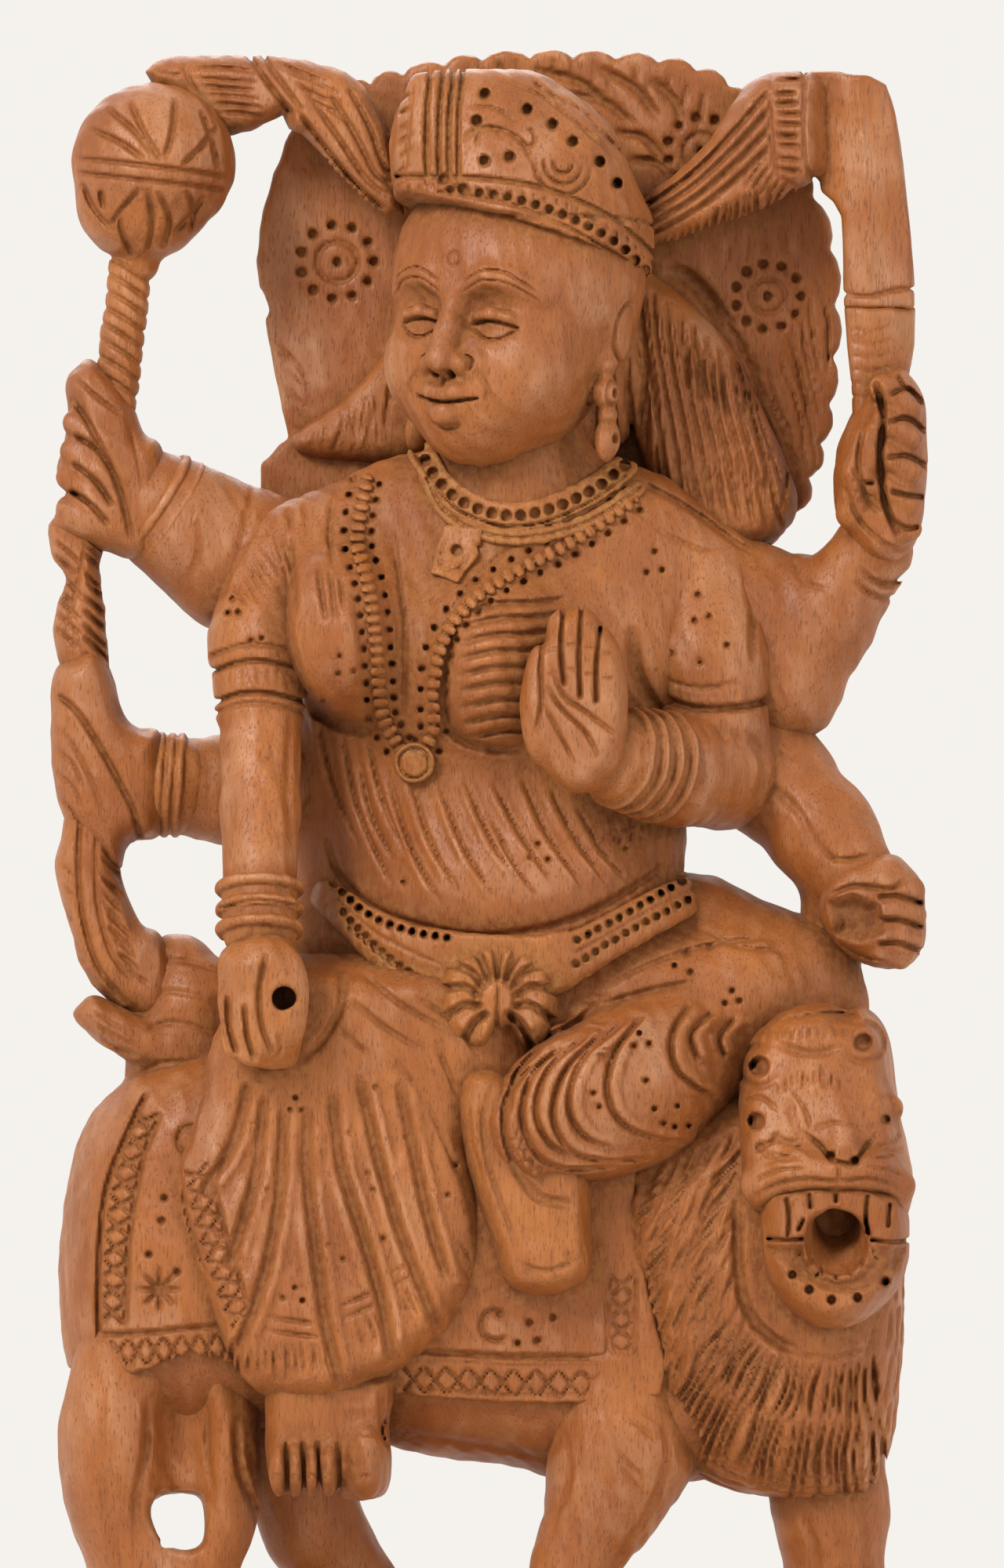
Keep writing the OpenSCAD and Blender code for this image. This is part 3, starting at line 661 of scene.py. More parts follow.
FLANK = [(-44.5, 103), (-48, 100.4), (-51.2, 97.2), (-53.2, 92.6), (-54.2, 84), (-54.2, 75),
         (-53.4, 66), (-50, 60), (-40, 58), (-25, 58), (-14, 56.2), (0, 53.4), (8, 51), (20, 50.5),
         (30, 53), (34, 62), (34, 90), (24, 98), (0, 104), (-30, 106)]
TRUNK = join(pillow(FLANK, 3, 15.5, 10), egg((-40, 1.5, 76), (13, 15.6, 19)),
             egg((-6, 1.5, 76), (18, 15.4, 20)), blend=6)

piece("plinth",
      join(block((-58, -32, 0), (58, 32, 6), 1.2), block((-55.5, -29.5, 3), (55.5, 29.5, 10), 1.0)),
      pitch=0.7)


def draw_trunk(v):
    for side in (v.front, v.back):
        side.line([(-14, 57.5), (0, 55.2), (7, 53.5), (13, 52)], 1.2, 0.35)
        side.hatch([(-24, 60), (-10, 57), (4, 56)], ((3.5, -1.5), (3.0, -1.8)), 9, 0.8, 0.25)


# the lion's body takes the darker copy of the wood: painted shade
piece("lion_body", TRUNK, draw_trunk, pitch=0.42, finish="wood_shaded")

CLOTH_EDGE = [(-60, 65.5), (-51.5, 65.3), (-47, 64.7), (-43, 66), (-40, 67.2), (-33, 66), (-22, 63),
              (-12, 62), (0, 61), (12, 61), (20.5, 62), (21, 66), (19, 74), (17, 84), (18, 120),
              (-60, 120)]


def draw_saddle(v):
    for side in (v.front, v.back):
        outer = [(-51.2, 67), (-51.5, 75), (-50.5, 88), (-47, 97), (-45, 101)]
        inner = [(-48.0, 71), (-47.5, 82), (-45.8, 92), (-43.5, 98)]
        side.line(outer, 1.0, 1.0, taper=0.05)
        side.line(inner, 1.0, 1.0, taper=0.05)
        side.lattice(inner, (-3.3, 0.4), 10, 0.8, 0.85)
        side.line([(-51.4, 69.8), (-45, 70), (-40, 70.6), (-33, 71.2)], 1.0, 0.8, taper=0.03)
        side.lattice([(-50, 69.2), (-42, 69.6), (-34, 70)], (0.2, -3.6), 7, 0.6, 0.7)
        for turn in range(0, 180, 45):
            a = math.radians(turn)
            dx, dz = 3.1 * math.cos(a), 3.1 * math.sin(a)
            side.line([(-43.7 - dx, 75.5 - dz), (-43.7 + dx, 75.5 + dz)], 0.9, 1.2, taper=0.4)
        side.circle((-39.5, 94.5), 1.9, 0.9, 0.7, 40, 330)
        side.dots([(-43, 87.2), (-43.4, 84.3), (-41.4, 77.8), (-45, 80)], 0.5, 1.0)
        side.line([(-14, 68), (0, 67), (12, 66.8), (14, 66.8)], 1.1, 0.85, taper=0.03)
        side.line([(-14, 66.9), (0, 65.9), (12, 65.7), (14, 65.7)], 0.6, 0.35, taper=0.03)
        side.lattice([(-13, 66), (0, 65.4), (13, 65.2)], (0.2, -3.6), 9, 0.6, 0.8)
        side.line([(-13, 62.8), (0, 62.1), (13, 62.0)], 0.7, 0.45)
        side.line([(13.6, 78), (13.4, 70), (13.6, 62.5)], 0.8, 0.5, taper=0.05)
        side.line([(17.2, 78), (17.0, 70), (17.4, 62.5)], 0.8, 0.5, taper=0.05)
        side.lattice([(13.8, 77.5), (13.6, 70), (13.8, 63)], (3.2, 0), 5, 0.75, 0.6)
        side.circle((-0.8, 71), 2.0, 0.9, 0.8, 60, 320)
        side.dots([(-0.3, 72.4), (3.5, 71.3), (2, 68.7), (4.5, 69), (6.5, 72)], 0.5, 1.0)
    v.back.dots([(x, 74 + 6 * math.sin(x)) for x in range(-30, 12, 6)], 0.5, 0.5)


piece("saddle_cloth", common(grown(TRUNK, 1.4), slab(CLOTH_EDGE, -40, 40, 0.4), 0.6), draw_saddle,
      pitch=0.34)


def draw_haunch(v):
    f = v.front
    f.line([(-50.6, 64), (-51, 56), (-50.5, 47), (-48.5, 40), (-46.5, 30)], 1.6, 0.35, taper=0.3)
    f.line([(-45.2, 62), (-45.4, 55), (-46.6, 49), (-46.6, 42)], 1.6, 0.6, taper=0.3)
    f.line([(-37.5, 61), (-37.6, 55), (-36.8, 50)], 1.0, 0.45)
    f.line([(-34, 59), (-33.5, 53), (-31.8, 48), (-30.5, 44)], 1.6, 0.8)
    f.hatch([(-43, 27), (-43.4, 20)], (3, -1), 4, 0.7, 0.3)
    toes(f, -41, 14.5)
    v.back.line([(-50, 60), (-49, 45), (-46, 28)], 2.0, 0.6)


def toes(f, x, z, height=4.5, gap=4.0):
    """The three grooves that part a paw's toes."""
    for i in (-1, 0, 1):
        f.line([(x + i * gap, z + height - 1.2), (x + i * gap * 1.15, z - 0.5),
                (x + i * gap * 1.2, z - height)], 0.9, 0.8, taper=0.15)


HAUNCH = [(-53.6, 70), (-54.4, 63), (-55.8, 57), (-55.0, 47), (-53.0, 40), (-50.6, 32), (-49.6, 22),
          (-49.3, 12), (-37.5, 12), (-38.5, 22), (-38, 31), (-35, 38), (-32.2, 43), (-31, 49),
          (-31.6, 58), (-33, 66), (-38, 72), (-47, 74)]
ABOVE_PLINTH = block((-60, -34, 9.5), (60, 34, 300), 0.1)
piece("hind_leg_left",
      common(carve(join(pillow(HAUNCH, -5.0, 7.6, 5.5), egg((-49.6, -6, 56), (6.6, 8, 13)),
                        egg((-41.5, -12, 14.5), (9.5, 8.5, 5.6)),
                        limb([(-43.5, -5, 34, 5.4), (-41, -6, 27, 5.2), (-41, -8, 16, 5.4)], 3),
                        limb([(-34.6, -6, 60, 3.4), (-35.2, -8, 48, 3.2), (-38, -8, 39, 3.6)], 2),
                        blend=3),
                   pillow([(-44.8, 47.5), (-43, 49.3), (-39, 49.2), (-38, 47), (-38.2, 43.4),
                           (-40.5, 42.3), (-43.5, 43.6)], -8, 40, 0.6),
                   egg((-40.4, -15.6, 56), (4.6, 7.5, 11.5)), blend=2.0), ABOVE_PLINTH), draw_haunch,
      middle=-6)


def draw_plain_paw(x):
    return lambda v: toes(v.front, x, 15, gap=3.2)


piece("hind_leg_right",
      common(join(limb([(-29, 9, 60, 8.5), (-24, 10, 45, 6.0), (-13, 11, 30, 5.0), (-7, 11, 16, 4.8)],
                       3), egg((-2.5, 9, 14.5), (8.5, 7, 5.2)), blend=3), ABOVE_PLINTH),
      draw_plain_paw(-2), pitch=0.5)


def draw_fore_left(v):
    f = v.front
    f.line([(20.5, 60), (21, 54), (18.5, 47), (14, 40), (11.5, 30)], 1.6, 0.45)
    f.line([(8, 58), (8.8, 52), (6.8, 46)], 1.2, 0.35)
    f.hatch([(16, 62), (14, 54)], ((5, -4), (4, -5)), 5, 0.8, 0.3)
    toes(f, 8, 14.5)


piece("fore_leg_left",
      common(join(limb([(15, -3.5, 63, 11.2), (15.0, -6.5, 54.5, 8.6), (12.6, -8, 47.5, 6.2),
                        (9.0, -9, 40.5, 4.5), (6.7, -9.5, 28, 4.7), (6, -10, 16, 4.9)], 4),
                  egg((8.5, -12.5, 14.5), (9, 8, 5.4)), blend=3), ABOVE_PLINTH), draw_fore_left)


def draw_fore_right(v):
    f = v.front
    f.line([(38, 47), (40, 42), (39.5, 34)], 1.6, 0.4)
    f.line([(45.5, 49), (46.3, 42), (46, 33)], 1.2, 0.35)
    toes(f, 45, 14.5)


piece("fore_leg_right",
      common(join(limb([(40, 3, 60, 9.5), (42, 1.5, 47, 6.6), (42.5, 1.5, 36, 5.7), (42.8, 1, 24, 5.2),
                        (43, 1, 16, 5.2)], 4), egg((45, -2.5, 14.5), (9, 8, 5.4)), blend=3),
             ABOVE_PLINTH), draw_fore_right)


def draw_tail(v):
    f = v.front
    for drop in (0.0, 1.5, 3.0):
        f.line([(-52.6 + drop * 0.5, 111.2 - drop), (-50, 109.6 - drop * 0.9),
                (-46.5, 107.6 - drop * 0.8)], 0.8, 0.45, taper=0.2)
    for z in (116, 112, 108, 103):
        f.line([(-46, z), (-43, z + 1.5), (-39, z + 1.0), (-35.5, z - 0.5)], 1.0, 0.45)
    v.back.hatch([(-44, 118), (-43, 100)], (-5, -3), 9, 0.9, 0.5)


piece("lion_tail",
      join(limb([(-41.5, 6, 92, 8.5), (-39.6, 4, 104, 7.6), (-39.6, 3.5, 111.5, 6.6),
                 (-41.4, 4, 116.4, 4.6)], 3),
           pillow([(-54.7, 110.4), (-53.9, 112.0), (-51.8, 113.2), (-48, 111.4), (-44, 110),
                   (-40, 108), (-39, 101), (-44.5, 103.2), (-48.4, 105.0), (-52.6, 107.9)], 0, 4.4,
                  3.0), blend=1.5), draw_tail)


def draw_mane(v):
    f = v.front
    rows = [([(14, 88), (22, 92), (30, 96)], (-2.6, -5.0), 9),
            ([(13, 82), (21, 86), (29.5, 90)], (-2.8, -5.4), 9),
            ([(14, 76.5), (21, 80), (29.5, 84)], (-3.0, -5.4), 9),
            ([(16.5, 71), (22, 74), (30, 78)], (-2.6, -5.8), 8),
            ([(18.5, 66), (24, 68.5), (31, 72)], (-2.0, -6.0), 8)]
    for edge, stroke, count in rows:
        f.hatch(edge, stroke, count, 1.15, 0.75)
        f.hatch([(x + 0.9, z - 2.6) for x, z in edge], stroke, count, 0.8, 0.5)
    f.hatch([(31.5, 94), (28.5, 86), (27.5, 78), (28.5, 71)], ((-5.0, -5.0), (-3.6, -7.0)), 15, 0.9,
            0.95)
    f.hatch([(26.5, 93), (22.5, 84), (21, 76), (21.5, 68)], ((-5.0, -3.8), (-3.4, -6.4)), 16, 0.85, 0.9)
    f.hatch([(22.0, 90), (18.0, 82), (16.6, 74), (17, 66)], ((-4.4, -2.6), (-2.6, -5.0)), 15, 0.8, 0.8)
    upper = [(29.5, 72.0), (33, 68.6), (38, 66.6), (43, 66.2), (47.4, 67.8)]
    middle = [(25.5, 66.5), (30, 62.0), (37, 59.6), (43, 59.4), (47.6, 60.4)]
    f.hatch(upper, ((-5.6, -7.0), (0.6, -8.8)), 21, 0.8, 1.2)
    f.hatch([(x + 0.5, z - 0.8) for x, z in upper], ((-4.6, -5.0), (0.6, -6.4)), 21, 0.5, 0.6)
    f.hatch(middle, ((-5.2, -7.2), (0.2, -11.6)), 25, 0.8, 1.2)
    f.hatch([(x + 0.5, z - 1.6) for x, z in middle], ((-4.2, -5.8), (0.2, -9.0)), 25, 0.5, 0.6)
    f.line([(17.5, 73), (18.5, 68), (20.5, 62), (26, 55), (30, 52)], 1.0, 0.5)
    f.line([(30.0, 86), (30.2, 78), (31.5, 72.5), (34.5, 69.3), (38, 67.6)], 2.0, 1.2, taper=0.1)
    f.line([(36.5, 67.7), (41.5, 66.8), (46.5, 68.2)], 0.8, 0.5)
    for row in range(7):
        z = 96 - row * 6.5
        v.back.hatch([(16 + row, z), (30, z + 1.5), (46 - row * 0.5, z - 1)],
                     ((-2.0, -6.0), (2.0, -6.0)), 15, 1.2, 0.8)
    s = v.side()
    for row in range(7):
        z = 92 - row * 6.2
        s.hatch([(-14 + row * 0.5, z), (0, z + 1), (14, z)], ((-1.5, -6.0), (1.5, -6.0)), 11, 1.2, 0.7)


RUFF = [(17.5, 73), (18.5, 68), (20.5, 62), (26, 55), (30, 51.8), (35, 50), (38, 49), (43, 49.2),
        (47, 50), (49.2, 54), (50.3, 59), (50.5, 70), (50, 84), (46, 98), (38, 102), (29, 101),
        (20, 97), (13.5, 90), (13, 80)]
piece("lion_mane", join(egg((32, 0, 74), (18, 18, 24)), pillow(RUFF, -4, 13.5, 11), blend=5),
      draw_mane, middle=0, pitch=0.36)


def draw_lion_head(v):
    f = v.front
    f.dot((32.8, 104.0), 1.3, 1.5)
    f.circle((32.8, 104.0), 2.6, 1.2, 0.5, 60, 340)
    f.dot((46.0, 107), 1.2, 1.5)
    f.circle((46.0, 107), 2.5, 1.2, 0.5, -150, 120)
    f.line([(34.6, 107.2), (37.4, 106.0), (40.6, 105.6), (43.4, 106.6)], 1.6, 0.6)
    for x, z, size in ((32.4, 97.0, 1.0), (48.8, 97.2, 0.6)):
        f.dot((x, z), 1.1 * size, 1.6 * size)
        f.circle((x, z), 2.3 * size, 1.0, -0.5 * size)
        f.line([(x - 1.6 * size, z + 2.4), (x + 0.6 * size, z + 3.0), (x + 3.0 * size, z + 1.2)], 0.8,
               0.5 * size)
        f.line([(x + 0.2 * size, z - 3.0), (x + 1.8 * size, z - 2.8), (x + 3.0 * size, z - 1.4)], 0.8,
               0.6 * size)
    f.dot((33.0, 93.6), 0.7, 0.8)
    f.hatch([(35.6, 102.6), (38.5, 103.6), (42.8, 103.0)], ((-0.2, -2.2), (0.3, -2.4)), 11, 0.5, 0.45)
    for points in ([(36.6, 101.4), (38.6, 98.4), (39.4, 95.6)],
                   [(34.2, 95.4), (36.6, 94.4), (38.6, 94.6)],
                   [(33.0, 93.0), (35.6, 92.0), (37.6, 92.2)],
                   [(47.6, 94.2), (49.4, 93.2), (51.2, 93.4)],
                   [(34.6, 109.6), (38.4, 110.4), (42.6, 110.8), (46.4, 110.0)],
                   [(40.6, 104.2), (41.4, 100.6)]):
        f.line(points, 0.6, 0.45)
    f.hatch([(34.0, 108.6), (40, 109.4), (46.6, 108.8)], ((-0.3, -2.0), (0.3, -2.0)), 13, 0.5, 0.4)
    f.line([(36.6, 100), (37.4, 96.4), (39.0, 94.2)], 1.8, 0.35)
    f.line([(47.6, 100), (47.4, 97), (46.4, 94.8)], 1.6, 0.35)
    f.line([(38.4, 95.6), (40.6, 93.8), (41.8, 92.2), (43.2, 91.7), (44.8, 91.6), (46.2, 93.4),
            (47.8, 95.6)], 0.8, 0.8, taper=0.15)
    f.line([(39.4, 95.8), (42.8, 96.8), (46.6, 95.8)], 0.6, 0.3)
    f.dots([(41.9, 92.5), (45.0, 91.9)], 0.6, 1.4)
    f.line([(43, 91.4), (42.9, 89.4)], 0.8, 0.6)
    f.line([(32.0, 87.2), (35.0, 88.9), (38.6, 89.6), (42.4, 89.4), (47.0, 89.6), (50.2, 88.8),
            (51.4, 88.2)], 0.8, 0.6, taper=0.15)
    f.line([(32.4, 85.6), (35.6, 87.4), (39.0, 88.2), (44, 88.2), (48.4, 87.8), (51.0, 86.8)], 0.7,
           0.5, taper=0.15)
    f.line([(32.0, 89.4), (35.6, 90.8), (39.0, 91.0)], 0.6, 0.45)
    for x, z, dx, dz in ((34.6, 94.4, 4.0, -1.0), (34.0, 92.8, 4.4, -0.8), (47.2, 92.2, 3.0, 0.5),
                         (47.4, 93.6, 2.4, 0.9)):
        f.line([(x, z), (x + dx * 0.5, z + dz * 0.3), (x + dx, z + dz)], 0.55, 0.45)
    f.line([(46.4, 91.2), (49.2, 90.8), (51.6, 89.8)], 0.6, 0.45)
    f.line([(33.6, 91.6), (36.4, 92.4), (38.4, 92.4)], 0.5, 0.3)
    v.back.hatch([(28, 108), (40, 112), (50, 104)], ((-2, -7), (2, -7)), 13, 1.1, 0.7)
    v.back.hatch([(27, 100), (40, 103), (51, 97)], ((-2, -7), (2, -7)), 14, 1.1, 0.7)
    s = v.side()
    for row in range(3):
        s.hatch([(-8, 108 - row * 8), (0, 107 - row * 7)], ((-1, -6.5), (2, -6.5)), 7, 1.1, 0.7)


LION_FACE = [(30.4, 104), (30.0, 98), (30.2, 92), (31.0, 87.4), (33.0, 85.2), (38, 86.6), (43, 86.8),
             (48, 86.2), (51.4, 84.8), (52.4, 87.6), (52.2, 91.4), (51.0, 97), (50.0, 102),
             (49.6, 107), (48.0, 110.2), (45.6, 111.8), (43.4, 110.4), (41.0, 111.8), (36.2, 111.2),
             (33.0, 109.0), (31.2, 106.8)]


def lion_face_mid(x, z):
    return -11.5 - 0.30 * (107 - z) + 0.018 * (x - 41.5) ** 2


piece("lion_head",
      join(pillow(LION_FACE, lion_face_mid, 9.0, 3.2), egg((40.4, -7, 99), (9.8, 12, 13)),
           limb([(42.0, -20.4, 101, 1.6), (43.2, -23.0, 96.6, 1.5), (43.6, -24.2, 93.6, 1.9)]),
           limb([(33.6, -18.4, 99.2, 1.6), (37.6, -19.8, 100.4, 1.4)]),
           limb([(46.4, -20.0, 100.0, 1.3), (49.8, -18.2, 98.8, 1.4)]),
           limb([(32.8, -21.2, 88.8, 2.4), (37.4, -24.2, 90.4, 2.7), (42.4, -25.0, 90.2, 2.3),
                 (47.2, -24.4, 90.4, 2.7), (50.8, -21.8, 88.8, 2.1)], 1), blend=1.6), draw_lion_head,
      middle=-4, pitch=0.28)


def draw_jaw(v):
    f = v.front
    for x, z in ((37, 77.4), (39.2, 75.5), (42, 74.2), (45.3, 74.5), (48.8, 76.6)):
        f.dot((x, z), 0.62, 1.6)
    for points in ([(36.3, 87.0), (36.6, 84.6), (36.4, 82.4)], [(39.2, 87.6), (39.3, 86.0)],
                   [(46.6, 87.4), (46.4, 84.8), (46.8, 82.6)], [(49.4, 86.4), (49.2, 83.6)],
                   [(42.6, 87.8), (42.6, 86.8)], [(38.4, 84.4), (37.8, 83.2)],
                   [(34, 82.0), (36.2, 81.8), (38.2, 82.0)],
                   [(47.2, 81.8), (49.6, 81.6), (51.8, 81.8)], [(38.0, 80.0), (37.0, 79.0)],
                   [(47.6, 79.6), (48.8, 78.8)], [(40.2, 77.4), (39.6, 76.6)]):
        f.line(points, 0.7, 1.1, taper=0)
    f.patch([(34.0, 80.8), (38.0, 81.0), (38.4, 79.4), (40.4, 77.2), (42.6, 76.5), (45.4, 77.0),
             (47.6, 79.4), (48.2, 81.0), (51.2, 80.8), (50.2, 78.4), (47.8, 76.0), (44.6, 75.3),
             (41.2, 75.6), (38.2, 77.0), (35.8, 79.2)], 1.0, 1.0)
    f.hatch([(37.6, 79.6), (42.4, 75.8), (47.6, 79.4)], ((0.5, 1.6), (-0.5, 1.6)), 7, 0.5, 0.5)


MOUTH = [(33.2, 87.6), (37, 89.8), (42, 90.2), (47, 89.8), (51.2, 87.4), (52.0, 81), (51.0, 76.5),
         (48.2, 73), (44.2, 70.6), (40, 70.8), (36, 73.5), (33.6, 77.4), (33.0, 82)]
piece("lion_jaw",
      carve(pillow(MOUTH, -17.4, 9.0, 3.0), limb([(42.3, -31, 80.8, 6.0), (42.5, -25.6, 81.2, 3.9)]),
            limb([(42.4, -29, 80.8, 3.6), (43.0, -13, 86.6, 2.2)]), blend=1.3), draw_jaw, middle=-14,
      pitch=0.26)

# the goddess

BODY = join(egg((0, 2, 121), (24.5, 13.5, 13)), egg((0.5, 1, 134), (21.8, 12, 16)),
            egg((0, 0, 156), (26, 12.5, 18)),
            limb([(-27.0, 1.0, 167.4, 8.3), (-12, 2, 172, 9.5), (2, 2, 175, 10), (16, 2, 170, 10),
                  (29, 4, 163.5, 8)], 2, 0.9), egg((-13, 6, 140), (13.0, 8, 24)),
            egg((-18.5, 8, 135), (7.6, 5.5, 21)), egg((-22.5, 5, 119.5), (6.6, 7, 6)),
            egg((12, 5, 136), (11.0, 8, 16)), egg((-20.8, -8.5, 159.5), (8.2, 9, 10.5)),
            egg((-0.5, -8.5, 155.5), (9.5, 9.5, 11)), egg((2, -4.5, 125), (16, 10, 11)),
            limb([(1.5, -1, 190, 8.2), (2, 0, 172, 8.6)]), blend=5)


def draw_torso(v):
    f = v.front
    f.line([(-28.0, 168), (-27.4, 158), (-24.5, 150.4), (-18.5, 147.0), (-14.5, 148.8)], 2.6, 1.1,
           taper=0.2)
    f.line([(-20.5, 164), (-19.4, 158), (-19.0, 151)], 3.0, -0.7, taper=0.3)
    for a, b, c in (((-23.6, 168.5), (-23.0, 164.5), (-22.4, 160.5)),
                    ((-22, 167.5), (-21.6, 164.5), (-21.2, 161)),
                    ((-20.6, 166.5), (-20.4, 164), (-20.2, 162))):
        f.line([a, b, c], 0.9, 0.7)
    f.dots([(-20.7, 156.3), (-20.9, 154.2), (-19, 154.4), (-24.6, 152.0), (-22.8, 150.6)], 0.38, 0.8)
    for i, z in enumerate((162.5, 160.6, 158.5, 156.4, 154.3, 152.3, 150.2, 148.2, 146.3)):
        x0 = -4.6 - 1.2 * math.sin(i / 8 * math.pi)
        f.line([(x0, z - 0.6), (x0 + 4.5, z + 0.5), (x0 + 9, z + 0.6), (x0 + 13, z + 1.2)], 1.15, 0.85,
               taper=0.2)
    f.line([(-6.0, 161), (-7.4, 154), (-6.6, 147), (-2, 144.6), (3, 144.5)], 1.8, 0.9, taper=0.15)
    strokes = [((-23.5, 148), (-22, 141), (-19, 134)), ((-20.5, 146.5), (-18.6, 137), (-14.6, 128.5)),
               ((-17.2, 145.5), (-15.6, 139), (-12.5, 132)),
               ((-14.6, 141), (-12.2, 133), (-8.4, 126.5)), ((-11.6, 139.5), (-9.5, 133), (-6.2, 128)),
               ((-8.0, 139.5), (-5.4, 133), (-1.6, 127.5)), ((-4.8, 139.8), (-1.8, 133.5), (2.4, 128)),
               ((-1.2, 139.4), (1.6, 134.5), (5.6, 129.2)), ((2.6, 140), (5.6, 134), (10, 128.5)),
               ((6.2, 138.6), (9, 133.5), (13, 128.8)), ((9.6, 136), (12.2, 132), (15.6, 129)),
               ((-18, 142), (-16.8, 136.5), (-14.6, 132.5)), ((-1, 134), (1, 130.5), (3.6, 127.6))]
    for i, stroke in enumerate(strokes):
        slip = 0.9 + 0.25 * math.sin(i * 2.1)
        cut = [(x + 0.4 * n, z + slip - 1.5 * n) for n, (x, z) in enumerate(stroke)]
        f.line(cut, 0.55, 0.55, taper=0.25)
        f.line([(x - 1.1, z + 0.4) for x, z in cut], 1.5, -0.35, taper=0.3)
    f.line([(-22.4, 134), (-21, 129), (-17, 124.5), (-10, 121.8), (-2, 120.6), (7, 122), (14, 125),
            (21, 129.8)], 1.4, 0.8, taper=0.1)
    f.hatch([(12.5, 134.5), (21.5, 137.5)], ((-1.5, -3.8), (-0.5, -5)), 9, 0.55, 0.45)
    f.dots([(-12.5, 127.5), (4.6, 132.4), (3.6, 130.6), (5.8, 130.4), (15.6, 131.8)], 0.38, 0.8)
    f.line([(-30.5, 176.8), (-25, 179.6), (-20, 180.8), (-13, 182.4)], 1.0, 0.7, taper=0.1)
    f.line([(-27.4, 171.5), (-26.6, 166.5), (-26.4, 161)], 1.4, 0.7)
    for points, wide, count in ((GARLAND_LEFT, 1.7, 17), (GARLAND_RIGHT, 1.6, 19)):
        for x, z, dx, dz in along(points, count):
            f.dots([(x - dz * wide, z + dx * wide), (x + dz * wide, z - dx * wide)], 0.44, 1.2)
    f.line([(-21.4, 176.4), (-22.0, 171.6), (-21.2, 167.0)], 1.0, 0.55)
    f.hatch([(-31, 171.5), (-29, 174.5), (-25.5, 176.0)], ((-0.5, -4.5), (1.0, -4.5)), 5, 0.7, 0.35)
    f.line([(-14.0, 172.5), (-12.4, 160), (-12.6, 148)], 0.8, 0.4)
    f.line([(3.4, 172.0), (-3.6, 166), (-7.0, 160.5), (-8.2, 154)], 0.8, 0.4)
    f.line([(17.6, 178.4), (22, 176.2), (26, 173.6), (30, 170.6), (34, 169)], 1.1, 0.7, taper=0.1)
    f.line([(16.0, 176.0), (20, 172.4), (24, 170.4), (29, 168.6)], 0.7, 0.35)
    f.dots([(19.4, 169.7), (18.4, 167.0), (20.4, 167.3)], 0.42, 0.9)
    f.line([(16.5, 160), (17.2, 154), (19.4, 150), (22, 147)], 2.4, 1.2)
    b = v.back
    b.line([(1, 182), (0.5, 160), (1, 132)], 2.4, 0.8)
    b.hatch([(-24, 176), (0, 182), (26, 172)], ((2, -16), (-2, -16)), 15, 1.2, 0.55)
    b.hatch([(-22, 150), (0, 152), (22, 148)], ((3, -16), (-3, -16)), 13, 1.2, 0.5)


piece("torso", BODY, draw_torso, middle=1, pitch=0.33)

GIRDLE_FRONT = [(-25, 128.6), (-21, 127.4), (-16.5, 124.2), (-11, 122.0), (-4, 121.0), (4, 120.6),
                (10, 121.8), (15, 124.6), (20, 127.2), (25.5, 129), (26, 124), (20, 120.8),
                (14, 117.4), (9, 114.0), (0, 109), (-8, 110), (-12, 112), (-16.5, 116.4), (-20, 120.4),
                (-25, 125)]
GIRDLE_BACK = [(-30, 128.6), (30, 129), (30, 122.0), (-30, 122.0)]
HIPS = join(egg((0, 1.5, 121), (25, 14.5, 14)), egg((0.5, 1, 134), (22, 12, 16)),
            egg((3, -4.6, 120.5), (21, 12.6, 13)), blend=5)


def draw_girdle(v):
    f = v.front
    upper = [(-21.5, 127.2), (-17.5, 123.6), (-12.5, 121.4), (-7, 120.3)]
    lower = [(-20.2, 123.6), (-16.4, 119.6), (-12.2, 116.2), (-8.5, 113.6)]
    right_upper = [(24.2, 128.2), (19, 125.3), (14.4, 122.6), (9.6, 120.1)]
    right_lower = [(23.6, 125.2), (18, 122.2), (14, 119.9), (9.4, 117.0)]
    for edge, count in ((upper, 12), (lower, 12), (right_upper, 12), (right_lower, 12)):
        f.dots([(x, z) for x, z, _, _ in along(edge, count)], 0.55, 1.1)
    f.dots([(x, z) for x, z, _, _ in along([(-19.4, 121.6), (-14.6, 117.6), (-10.4, 114.6)], 9)], 0.4,
           0.8)
    f.line([(24.4, 126.6), (18.5, 123.7), (14.2, 121.1), (9.5, 118.5)], 0.6, 0.35, taper=0)
    f.line([(-21, 125.4), (-17, 121.6), (-12.3, 118.9), (-8, 117)], 0.6, 0.35, taper=0)
    f.line([(24.8, 129.2), (19, 126.6), (14, 123.9), (8.5, 121.2)], 0.5, 0.3, taper=0)
    b = v.back
    for z in (127.2, 124.2):
        b.dots([(x, z) for x in np.arange(-23, 23.5, 1.9)], 0.6, 1.2)
    b.line([(-26, 125.7), (26, 125.7)], 0.6, 0.4, taper=0)


piece("girdle",
      common(grown(HIPS, 0.9), join(slab(GIRDLE_FRONT, -40, 2, 0.3), slab(GIRDLE_BACK, 0, 40, 0.3)),
             0.8), draw_girdle, middle=1, pitch=0.3, finish="wood_light", dust=0.6)


def draw_rosette(v):
    f = v.front
    for i in range(11):
        a = math.radians(-56 + i * 292 / 10)
        bend = 0.25 * math.cos(a)
        f.line([(-0.6 + 2.0 * math.cos(a), 112.6 + 2.0 * math.sin(a)),
                (-0.6 + 4.8 * math.cos(a + bend), 112.8 + 4.8 * math.sin(a + bend)),
                (-0.6 + 9.0 * math.cos(a), 112.8 + 9.0 * math.sin(a))], 1.5, 1.4, taper=0.1)
        a += math.radians(14.6)
        f.line([(-0.6 + 3.0 * math.cos(a), 112.6 + 3.0 * math.sin(a)),
                (-0.6 + 6.4 * math.cos(a), 112.8 + 6.4 * math.sin(a))], 2.0, -0.5, taper=0.2)
    f.line([(-0.4, 115.6), (-0.6, 111), (-0.8, 105.5)], 0.7, 0.7)


